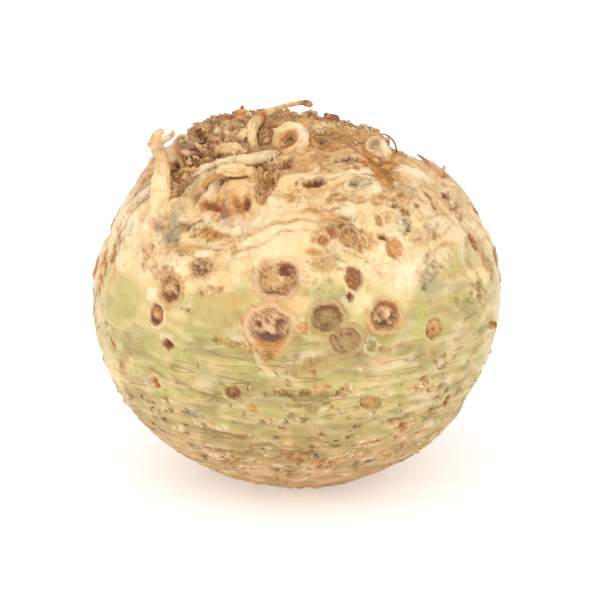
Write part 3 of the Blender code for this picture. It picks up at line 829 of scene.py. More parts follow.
def raggedEnd():
    # the root end is folded and cracked, with torn lumps standing on it
    away, latitude, points = field["away"], field["latitude"], field["points"]
    around, heights = zip(*crustEdge)
    edge = (latitude - np.interp(field["azimuth"], around, heights) + 2.4 * grain(away, 0.14, 21.4)
            + 1.8 * grain(away, 0.05, 2.2))
    mask, right = smooth(-1.6, 2.6, edge), rightward()
    big, mid, fine = grain(points, 8.0, 4.4), grain(points, 4.2, 6.1), grain(points, 2.0, 9.9)
    warped = points + 2.5 * np.stack([big, mid, grain(points, 5.0, 31.0)], axis=1)
    folds = 1 - 2.4 * np.abs(grain(warped, 5.2, 14.0))
    cracks = 1 - 3.0 * np.abs(grain(warped, 3.0, 17.0))
    shape = (1.9 * big + 1.1 * folds + 0.7 * mid + 0.4 * cracks + 0.3 * fine) * (1 - 0.4 * right)
    lift(everywhere, mask * (np.minimum(shape, 1.2 + 0.25 * shape) - 1.5 + 0.5 * right))
    paintAll(everywhere,
             (mask * 0.9, "tan"),
             (mask * smooth(0.0, 0.8, folds) * 0.6, "scarTan"),
             (mask * right * 0.8, "amber"),
             (mask * right * smooth(0.0, 0.35, mid) * 0.5, "fibre"),
             (mask * smooth(0.1, 0.45, grain(points, 5.0, 57.0)) * 0.6, "peach"),
             (mask * smooth(0.2, 0.5, grain(points, 6.0, 51.0)) * 0.55 * (1 - 0.6 * right), "rust"),
             # painted shade: umber and darkBrown laid into the low parts of the shape; painted highlight:
             # paleFlake on its highest parts
             (mask * smooth(0.2, -1.0, shape) * (0.7 - 0.45 * right), "umber"),
             (mask * smooth(-0.9, -2.0, shape) * (1 - 0.6 * right), "darkBrown"),
             (mask * smooth(0.8, 2.0, shape) * 0.85, "paleFlake"))
    field["tears"] = []
    for number, (azimuth, height, wide, tall, tilt, rise, tone) in enumerate(crustLumps):
        near, u, v, radius, angle = nearMark(azimuth, height, wide, tall, tilt, reach=1.6, wobble=0.6,
                                             seed=number * 2.1)
        torn, here = radius + 0.35 * fine[near] + 0.25 * cracks[near], mask[near]
        lift(near, here * rise * (0.75 * smooth(1.15, 0.8, torn) + 0.25 * smooth(1.0, 0.2, torn)))
        paintAll(near,
                 (0.75 * here * smooth(1.15, 0.85, torn), tone),
                 (0.8 * here * bell((torn - 1.2) / 0.12), "umber"))
        raiseTo("lump", near, here * smooth(1.1, 0.85, torn))
        field["tears"].append((near, here * smooth(1.1, 0.8, torn), tone))
    raiseTo("cork", everywhere, mask)
    field["ragged"][:] = mask


def cutCrown():
    # the knife cut across the leaf bases: crescents of stalk round a small core
    points = field["points"]
    span, angle = np.hypot(points[:, 0], points[:, 1]), np.arctan2(points[:, 1], points[:, 0])
    mask = smooth(4.0, 0.8, points[:, 2]) * smooth(21, 16, span)
    turns = span / 3.1 + 1.1 * angle / math.tau * 2 + 0.5 * grain(points, 6.0, 71.0)
    rows = np.abs((turns % 1) - 0.5) * 2
    stalks = np.abs(((angle / math.tau * 7 + np.floor(turns) * 0.38) % 1) - 0.5) * 2
    gaps = np.maximum(smooth(0.78, 0.98, rows), smooth(0.86, 1.0, stalks) * smooth(3, 6, span))
    rim = smooth(9, 2, points[:, 2]) * smooth(15, 20, span)
    rimGrain = grain(points, 2.2, 75.0)
    lift(everywhere, -mask * 1.5 * gaps)
    lift(everywhere, 0.8 * rim * rimGrain)
    paintAll(everywhere,
             (mask * 0.9, "paleFlake"),
             (mask * 0.6 * smooth(0.5, 0.8, rows), "green"),
             (mask * gaps, "scarBrown"),
             (mask * 0.8 * smooth(4.5, 2.5, span), "olive"),
             (0.7 * rim * smooth(-0.1, 0.3, rimGrain), "scarBrown"))


scabSettings = {
    "seed": 519, "flakes": 330, "specks": 150,
    "flakeTones": [("scarTan", "umber"), ("lowTan", "scarBrown"), ("paleFlake", "scarTan"),
                   ("paleFlake", "greyGreen"), ("pinkTan", "scarBrown"), ("greyGreen", "olive"),
                   ("peach", "umber"), ("freshGreen", "olive"), ("ochre", "darkBrown"),
                   ("scarTan", "darkBrown")],
    "speckTones": ["umber", "darkBrown", "smoke", "corkTan"],
}


def scabs():
    # small flakes, scabs and short cracks between the growth rings, thicker toward the foot
    draw = random.Random(scabSettings["seed"])
    for number in range(scabSettings["flakes"]):
        azimuth, latitude = draw.uniform(-180, 180), -54 * draw.random() ** 0.6 + 4
        wide = draw.uniform(1.4, 5.5) * (1.25 if latitude < -20 else 1.0)
        tall = min(wide, draw.uniform(1.0, 2.8))
        ground, deep = draw.choice(scabSettings["flakeTones"])
        makePatch(azimuth, latitude, wide, tall, draw.uniform(-14, 14), draw.uniform(0.2, 0.6), ground, deep,
                  "paleFlake", seed=number * 1.3)
    for number in range(scabSettings["specks"]):
        azimuth, latitude, wide = draw.uniform(-90, 90), draw.uniform(-48, -16), draw.uniform(1.2, 3.4)
        makePatch(azimuth, latitude, wide, draw.uniform(0.9, 1.6), draw.uniform(-10, 10), -0.5,
                  draw.choice(scabSettings["speckTones"]), "paleFlake", "darkBrown", seed=number * 1.7)


backSettings = {
    "seed": 843,
    "azimuths": (78, 278), "latitudes": (-44, 52), "scarLatitudes": (-18, 46),
    # how many of each kind, and how far in degrees it stays from every scar
    "kinds": (("scar", 34, 11), ("hollow", 46, 8), ("patch", 60, 8), ("swell", 46, 9), ("furrow", 60, 5)),
    "collars": ["pinkTan", "peach", "tan", "cream"],
    "rings": ["scarTan", "ochre", "scarBrown", "pink", "rust"],
    "cores": ["scarBrown", "umber", "tan", "ochre"],
    "extras": [{}, {}, {"pit": (0.3, 0.2, 0.4, "maroon")}, {"foot": "purple"}, {"drop": "orange"},
               {"crown": "rust"}],
}


def backMark(kind, draw, azimuth, latitude):
    # draws one mark of a kind, and gives the function that makes it and what that takes
    pick, tone = draw.uniform, draw.choice
    size, flat, tilt = pick(0.55, 1.0), pick(0.55, 0.95), pick(-25, 25)
    if kind == "scar":
        extras = tone(backSettings["extras"])
        return makeCutScar, (azimuth, latitude, 10.5 * size, 10.5 * size * max(0.75, flat), tilt,
                             tone(backSettings["collars"]), tone(backSettings["rings"]),
                             tone(backSettings["cores"]), extras)
    if kind == "hollow":
        return makeHollow, (azimuth, latitude, 8 * size, 8 * size * flat, tilt, pick(0.5, 2.2),
                            tone(["rust", "orange", "umber", "scarBrown"]), tone(["umber", "rust", "tan"]),
                            tone(["cream", "paleFlake", "pinkTan"]))
    if kind == "patch":
        return makePatch, (azimuth, latitude, 12 * size, 9 * size * flat, tilt * 0.6, pick(0.4, 0.9),
                           tone(["scarTan", "tan", "greyGreen", "pinkTan"]),
                           tone(["umber", "scarBrown", "smoke"]), tone(["paleFlake", "cream", "peach"]))
    if kind == "swell":
        tones = ["cream", "brightCream", "peach"] if latitude > 8 else ["green", "pinkTan", "freshGreen"]
        return makeSwell, (azimuth, latitude, 20 * size, 13 * size * flat, tilt * 0.5, pick(0.3, 1.0),
                           tone(tones))
    reach, drop = pick(6, 15), pick(-4, 4)
    route = [(azimuth, latitude), (azimuth + reach / 2, latitude + drop / 3),
             (azimuth + reach, latitude + drop)]
    return makeFurrow, (pick(-0.8, -0.4), 0.9, tone(["umber", "olive", "scarBrown", "rust"]), 0.65, route)


def backMarks(wanted):
    # the sides and the back carry the same kinds of mark as the front, scattered with a fixed seed; each
    # call draws every kind and makes only the wanted ones
    draw = random.Random(backSettings["seed"])
    scars = []
    for kind, count, spread in backSettings["kinds"]:
        made = 0
        for attempt in range(count * 12):
            azimuth = draw.uniform(*backSettings["azimuths"])
            latitude = draw.uniform(*backSettings["scarLatitudes" if kind == "scar" else "latitudes"])
            toward = directionAt(azimuth, latitude)
            if any(math.degrees(math.acos(min(1, float(toward @ other)))) < spread for other in scars):
                continue
            seed = made * 1.37 + len(scars)
            make, mark = backMark(kind, draw, azimuth, latitude)
            if kind == "scar":
                scars.append(toward)
            if kind in wanted:
                make(*mark, seed=seed)
            made += 1
            if made == count:
                break


def neighbourMean(values, edges, counts, rounds):
    for step in range(rounds):
        total = np.zeros_like(values)
        np.add.at(total, edges[:, 0], values[edges[:, 1]])
        np.add.at(total, edges[:, 1], values[edges[:, 0]])
        values = total / counts
    return values


def startField(mesh):
    points = getPoints(mesh) / mm
    away = points - centre
    away /= np.linalg.norm(away, axis=1)[:, None]
    count = len(points)
    for name in ("height", "cork", "ring", "calm", "ragged", "wild", "lump"):
        field[name] = np.zeros(count)
    field.update(points=points, normals=readVectors(mesh.vertex_normals, "vector"), away=away,
                 azimuth=np.degrees(np.arctan2(away[:, 0], -away[:, 1])),
                 latitude=np.degrees(np.arcsin(np.clip(away[:, 2], -1, 1))),
                 tone=np.zeros((count, 3)), place=np.zeros((count, 3)))


tearSettings = {
    # tone, size in mm, and the share of it on the left half and on the right half of the mat
    "tints": [("peach", 5.0, 1, 1), ("rust", 4.0, 1, 0), ("paleFlake", 4.0, 1, 1), ("scarBrown", 7.0, 1, 0),
              ("amber", 6.0, 1, 0), ("fibre", 5.0, 1, 0), ("orange", 4.0, 0, 0.6), ("umber", 4.4, 1, 0),
              ("cream", 5.0, 0, 1)],
    "sheetTints": ["peach", "scarTan", "amber", "pinkTan", "scarBrown"],
    "rightTints": ["scarBrown", "peach", "orange"],
}


def tearMat():
    # on the left the mat lies in torn sheets with dark gaps, darkened by painted shade at the foot of each
    # sheet; on the right it is paler and smoother
    points, ragged = field["points"], field["ragged"]
    left = 1 - rightward()
    crumbs = 0.6 * grain(points, 2.0, 91.0) + 0.3 * grain(points, 0.9, 95.0)
    threads = 1 - 3.2 * np.abs(grain(points + 1.6 * grain(points, 3.4, 97.0)[:, None], 2.6, 99.0))
    relief = crumbs * (1 - 0.55 * left) + 0.25 * threads
    sheet = 3.4 * grain(points + 1.1 * threads[:, None], 8.0, 131.0) + 1.0 * grain(points, 3.4, 137.0)
    layer = np.floor(sheet)
    part = sheet - layer
    torn = smooth(0.0, 0.2, part) - part
    lift(everywhere, ragged * (0.35 + 1.3 * left) * torn - 1.1 * smooth(0.3, 0.08, ragged))
    lift(everywhere, skinSettings["crustRelief"] * (0.45 + 0.3 * left) * ragged * relief)
    lift(everywhere, skinSettings["crustLift"] * (smooth(0.12, 0.6, ragged) * 2 - 1))
    bare = ragged * (1 - 0.65 * field["lump"])
    # broad zones of the left mat where painted shade is laid into the gaps and hollows
    paintedShadeZone = smooth(-0.25, 0.15, grain(points, 9.0, 143.0))
    for number, (tint, size, onLeft, onRight) in enumerate(tearSettings["tints"]):
        spread = smooth(0.1, 0.26, grain(points + 1.5 * threads[:, None], size, 120 + 9.0 * number))
        paint(everywhere, 0.75 * (onRight + (onLeft - onRight) * left) * bare * spread, tint)
    for number, tint in enumerate(tearSettings["sheetTints"]):
        paint(everywhere, 0.6 * left * bare * (layer % 5 == number), tint)
    paintAll(everywhere,
             # painted shade: maroon and darkBrown at the foot of each torn sheet
             (0.8 * left * bare * paintedShadeZone * smooth(0.86, 1.0, part), "maroon"),
             (0.7 * left * bare * paintedShadeZone * smooth(0.08, 0.0, part), "darkBrown"),
             (0.6 * (1 - left) * ragged, "amber"),
             (0.45 * left * bare * smooth(-0.1, 0.2, grain(points, 7.0, 151.0)), "orange"),
             (0.75 * left * bare * smooth(0.16, 0.34, grain(points, 6.0, 157.0)), "umber"),
             # painted shade: umber in the low parts of the relief
             ((0.12 + 0.55 * left * paintedShadeZone) * bare * smooth(-0.2, -0.8, relief), "umber"),
             (0.35 * left * bare * (1 - paintedShadeZone), "peach"),
             # painted highlight: cream on the high parts of the relief
             (0.5 * ragged * smooth(0.3, 0.9, relief), "cream"),
             (0.72 * (1 - left) * ragged, "amber"))
    for number, tint in enumerate(tearSettings["rightTints"]):
        spread = smooth(0.14, 0.3, grain(points + 1.2 * threads[:, None], 4.2, 163 + 6.0 * number))
        paint(everywhere, 0.85 * (1 - left) * bare * spread, tint)
    paint(everywhere, 0.3 * (1 - left) * ragged, "peach")
    for near, amount, tone in field["tears"]:
        paint(near, 0.8 * amount, tone)
    paint(everywhere, 0.3 * left * ragged, "rust")
    for name in ("cork", "wild"):
        field[name] *= 1 - 0.7 * (1 - left) * ragged


def settleSkin(mesh, rounds):
    # fine roughness and the cut crown come last; then hollows get painted shade and ridges a painted
    # highlight, and the heights move the points
    points, latitude = field["points"], field["latitude"]
    rough = 1 - 0.7 * field["calm"]
    lift(everywhere, rough * (0.55 * grain(points, 14.0, 5.5) + 0.28 * grain(points, 6.0, 7.7)
                              + 0.12 * grain(points, 2.4, 1.1)))
    low = smooth(12, -8, latitude)
    lift(everywhere, (0.05 + 0.16 * low) * grain(strata(7, 1.5), 1.0, 3.0))
    cutCrown()
    edges = np.empty(len(mesh.edges) * 2, dtype=int)
    mesh.edges.foreach_get("vertices", edges)
    edges = edges.reshape(-1, 2)
    counts = np.bincount(edges.ravel(), minlength=len(points))
    hollowness = neighbourMean(field["height"], edges, counts, rounds) - field["height"]
    # painted shade: scarBrown and darkBrown laid into the hollows; painted highlight: paleFlake laid on the
    # ridges
    paintAll(everywhere,
             (0.4 * smooth(0.22, 0.8, hollowness), "scarBrown"),
             (0.25 * smooth(0.6, 1.3, hollowness), "darkBrown"),
             (0.25 * smooth(0.12, 0.5, -hollowness), "paleFlake"))
    shaped = points + field["normals"] * field["height"][:, None]
    shaped[:, 2] = np.maximum(shaped[:, 2], 0.0)
    setPoints(mesh, shaped * mm)
    field["place"][:, 2] = arcUp(latitude)
    addColour(mesh, "skinTone", field["tone"])
    addColour(mesh, "skinWork", np.stack([field["cork"], field["ring"], field["wild"]], axis=1), low)
    addVector(mesh, "skinPlace", field["place"])


def layAll(make, marks, step):
    for number, mark in enumerate(marks):
        make(*mark, seed=number * step)


def shapeSkin(mesh, rounds, isMat=False):
    # every mark is laid on the bare form, the broad ones first
    startField(mesh)
    skinZones()
    layAll(makeDent, dents, 0.0)
    layAll(makeSwell, swells, 1.9)
    backMarks(["swell"])
    crumple()
    layAll(makeRing, ringGrooves, 3.3)
    backMarks(["scar", "hollow", "patch", "furrow"])
    scabs()
    layAll(makePatch, patches, 2.3)
    raggedEnd()
    if isMat:
        tearMat()
    layAll(makeFurrow, furrows, 4.7)
    layAll(makeHollow, hollows, 2.9)
    layAll(makeCutScar, cutScars, 3.7)
    settleSkin(mesh, rounds)


def cutCrustFrom(skin):
    # a finer copy of the root end, cut out of the bare form before it is shaped
    deselect()
    crust = skin.copy()
    crust.data = skin.data.copy()
    crust.name = "mattedCrust"
    bpy.context.scene.collection.objects.link(crust)
    startField(crust.data)
    raggedEnd()
    keep = field["ragged"] > skinSettings["crustFrom"]
    startEdit(crust, "FACE", "DESELECT")
    endEdit()
    for face in crust.data.polygons:
        face.select = not all(keep[corner] for corner in face.vertices)
    bpy.ops.object.mode_set(mode="EDIT")
    bpy.ops.mesh.delete(type="FACE")
    bpy.ops.mesh.select_all(action="SELECT")
    bpy.ops.mesh.subdivide(number_cuts=1)
    bpy.ops.mesh.select_mode(type="VERT")
    endEdit()
    return crust


def tuckBorder(crust):
    # the border of the mat is drawn in under the skin and closed there
    startEdit(crust, "VERT", "DESELECT")
    bpy.ops.mesh.select_non_manifold()
    bpy.ops.mesh.extrude_region_move()
    bpy.ops.transform.resize(value=(skinSettings["crustTuck"],) * 3, center_override=tuple(centre * mm))
    bpy.ops.mesh.select_all(action="SELECT")
    bpy.ops.mesh.fill_holes(sides=0)
    # the new parts come in any order, and what is laid on the mat later depends on it
    bpy.ops.mesh.select_all(action="SELECT")
    bpy.ops.mesh.sort_elements(type="CURSOR_DISTANCE", elements={"VERT", "EDGE", "FACE"})
    endEdit()


skinPattern = {
    # width along the skin and height up it in mm (0 for the same all round), detail, roughness
    "noises": {
        "mottle": (3.0, 0, 4.0, 0.60), "specks": (0.9, 0, 3.0, 0.65), "blotch": (7.0, 0, 3.0, 0.55),
        "dashes": (7.0, 1.1, 3.0, 0.55), "veins": (20.0, 3.4, 1.2, 0.45),
    },
    "cells": 0.75,                  # mm
    # name, operation and what goes into it; lines run where a broad noise crosses its middle value, and
    # rings 0.9 mm apart run round the middle of each scar
    "steps": [
        ("centred", "SUBTRACT", "veins", 0.5), ("crossing", "ABSOLUTE", "centred"),
        ("phase", "MULTIPLY", "mottle", 9.0), ("turns", "MULTIPLY_ADD", "reach", math.tau / 0.9, "phase"),
        ("waves", "SINE", "turns"), ("mostlyLow", "MULTIPLY_ADD", "low", 0.75, 0.25),
        ("corky", "MULTIPLY", "specks", "cork"), ("layered", "MULTIPLY", "dashes", "low"),
        ("dull", "MULTIPLY_ADD", "mottle", 0.25, 0.42), ("roughness", "MULTIPLY_ADD", "cork", 0.25, "dull"),
    ],
    # what it is made from, value where it is none, value where it is full, and the zones that it is kept to
    "masks": {
        "shade": ("mottle", 0.50, 0.72, []), "glow": ("mottle", 0.48, 0.30, []),
        "warm": ("blotch", 0.52, 0.68, []), "dash": ("dashes", 0.60, 0.69, ["low"]),
        "paleDash": ("dashes", 0.40, 0.31, ["low"]), "patchy": ("blotch", 0.42, 0.56, []),
        "pore": ("specks", 0.65, 0.73, []), "fleck": ("mottle", 0.57, 0.66, ["wild"]),
        "paleFleck": ("mottle", 0.42, 0.34, ["wild"]), "wildPore": ("specks", 0.57, 0.66, ["wild"]),
        "joint": ("cells", 0.45, 0.75, ["cork"]), "crumb": ("specks", 0.43, 0.33, ["cork"]),
        "wave": ("waves", 0.2, 0.9, ["ring"]), "vein": ("crossing", 0.018, 0.004, ["mostlyLow", "patchy"]),
    },
    # mask, strength, colour
    "tints": [("shade", 0.5, (0.80, 0.70, 0.52)), ("glow", 0.35, (1.12, 1.10, 1.06)),
              ("warm", 0.5, (0.97, 0.84, 0.64))],
    "coats": [("dash", 0.28, "umber"), ("paleDash", 0.25, "paleFlake"), ("vein", 0.5, "umber"),
              ("fleck", 0.3, "scarBrown"), ("paleFleck", 0.35, "brightCream"), ("wildPore", 0.18, "umber"),
              ("pore", 0.4, "scarBrown"), ("joint", 0.35, "umber"), ("crumb", 0.45, "paleFlake"),
              ("wave", 0.15, "umber")],
    # mask or noise, height in mm
    "relief": [("specks", 0.06), ("corky", 0.25), ("layered", 0.28), ("joint", -0.15), ("wave", -0.1),
               ("vein", -0.2), ("fleck", -0.2), ("wildPore", -0.15)],
}


def skinMaterial():
    # living celeriac skin: thin cork over pale flesh, half matt, marked in fine lines, pores and crumbs
    material, tree, shader = startMaterial("celeriacCorkSkin")
    tone, work, place = [addNode(tree, "ShaderNodeAttribute", attribute_name=name)
                         for name in ("skinTone", "skinWork", "skinPlace")]
    spot = addNode(tree, "ShaderNodeTexCoord").outputs["Object"]
    spots = addNode(tree, "ShaderNodeSeparateXYZ", {"Vector": spot})
    places = addNode(tree, "ShaderNodeSeparateXYZ", {"Vector": place.outputs["Vector"]})
    kinds = addNode(tree, "ShaderNodeSeparateColor", {"Color": work.outputs["Color"]})
    part = {"cork": kinds.outputs["Red"], "ring": kinds.outputs["Green"], "wild": kinds.outputs["Blue"],
            "low": work.outputs["Alpha"]}

    flat = addNode(tree, "ShaderNodeCombineXYZ", {"X": spots.outputs["X"], "Y": spots.outputs["Y"]})
    around = addNode(tree, "ShaderNodeVectorMath", {0: flat.outputs[0], 1: (1 / mm,) * 3},
                     operation="MULTIPLY")
    for name, (wide, tall, detail, rough) in skinPattern["noises"].items():
        where, scale = spot, 1 / (wide * mm)
        if tall:
            rise = addNode(tree, "ShaderNodeMath", {0: places.outputs["Z"], 1: wide / tall},
                           operation="MULTIPLY")
            upward = addNode(tree, "ShaderNodeCombineXYZ", {"Z": rise.outputs[0]})
            where = addNode(tree, "ShaderNodeVectorMath", {0: around.outputs[0], 1: upward.outputs[0]},
                            operation="ADD").outputs[0]
            scale = 1 / wide
        part[name] = addNode(tree, "ShaderNodeTexNoise", {
            "Vector": where, "Scale": scale, "Detail": detail, "Roughness": rough}).outputs["Fac"]
    part["cells"] = addNode(tree, "ShaderNodeTexVoronoi", {
        "Vector": spot, "Scale": 1 / (skinPattern["cells"] * mm)}).outputs["Distance"]
    level = addNode(tree, "ShaderNodeCombineXYZ", {"X": places.outputs["X"], "Y": places.outputs["Y"]})
    part["reach"] = addNode(tree, "ShaderNodeVectorMath", {0: level.outputs["Vector"]},
                            operation="LENGTH").outputs["Value"]
    for name, operation, *inputs in skinPattern["steps"]:
        sockets = {i: part.get(item, item) for i, item in enumerate(inputs)}
        part[name] = addNode(tree, "ShaderNodeMath", sockets, operation=operation).outputs[0]
    for name, (source, none, full, kept) in skinPattern["masks"].items():
        mask = addNode(tree, "ShaderNodeMapRange", {
            "Value": part[source], "From Min": none, "From Max": full})
        for zone in kept:
            mask = addNode(tree, "ShaderNodeMath", {0: mask.outputs[0], 1: part[zone]},
                           operation="MULTIPLY")
        part[name] = mask.outputs[0]

    colour = tone.outputs["Color"]
    coats = [(name, strength, palette[tint], "MIX") for name, strength, tint in skinPattern["coats"]]
    for name, strength, tint, blend in [(*layer, "MULTIPLY") for layer in skinPattern["tints"]] + coats:
        amount = addNode(tree, "ShaderNodeMath", {0: part[name], 1: strength}, operation="MULTIPLY")
        colour = addNode(tree, "ShaderNodeMix", {0: amount.outputs[0], 6: colour, 7: (*tint, 1)},
                         data_type="RGBA", blend_type=blend).outputs[2]
    height = 0.0
    for name, depth in skinPattern["relief"]:
        height = addNode(tree, "ShaderNodeMath", {0: part[name], 1: depth, 2: height},
                         operation="MULTIPLY_ADD").outputs[0]
    bump = addNode(tree, "ShaderNodeBump", {"Height": height, "Distance": mm, "Strength": 0.8})
    tree.links.new(colour, shader.inputs["Base Color"])
    tree.links.new(bump.outputs["Normal"], shader.inputs["Normal"])
    tree.links.new(part["roughness"], shader.inputs["Roughness"])
    shader.inputs["IOR"].default_value = 1.42
    return material


skin = startSkin()
bareTree = BVHTree.FromPolygons([Vector(p) for p in getPoints(skin.data) / mm],
                                [tuple(face.vertices) for face in skin.data.polygons])
print("skin wrapped:", len(skin.data.polygons), "faces")
crust = cutCrustFrom(skin)
shapeSkin(crust.data, skinSettings["crustRounds"], isMat=True)
tuckBorder(crust)
print("crust shaped:", len(crust.data.polygons), "faces")
shapeSkin(skin.data, skinSettings["rounds"])
skinLook = skinMaterial()
for piece in (skin, crust):
    finishPiece(piece, skinLook)
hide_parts("swollen_root")
print("skin finished")

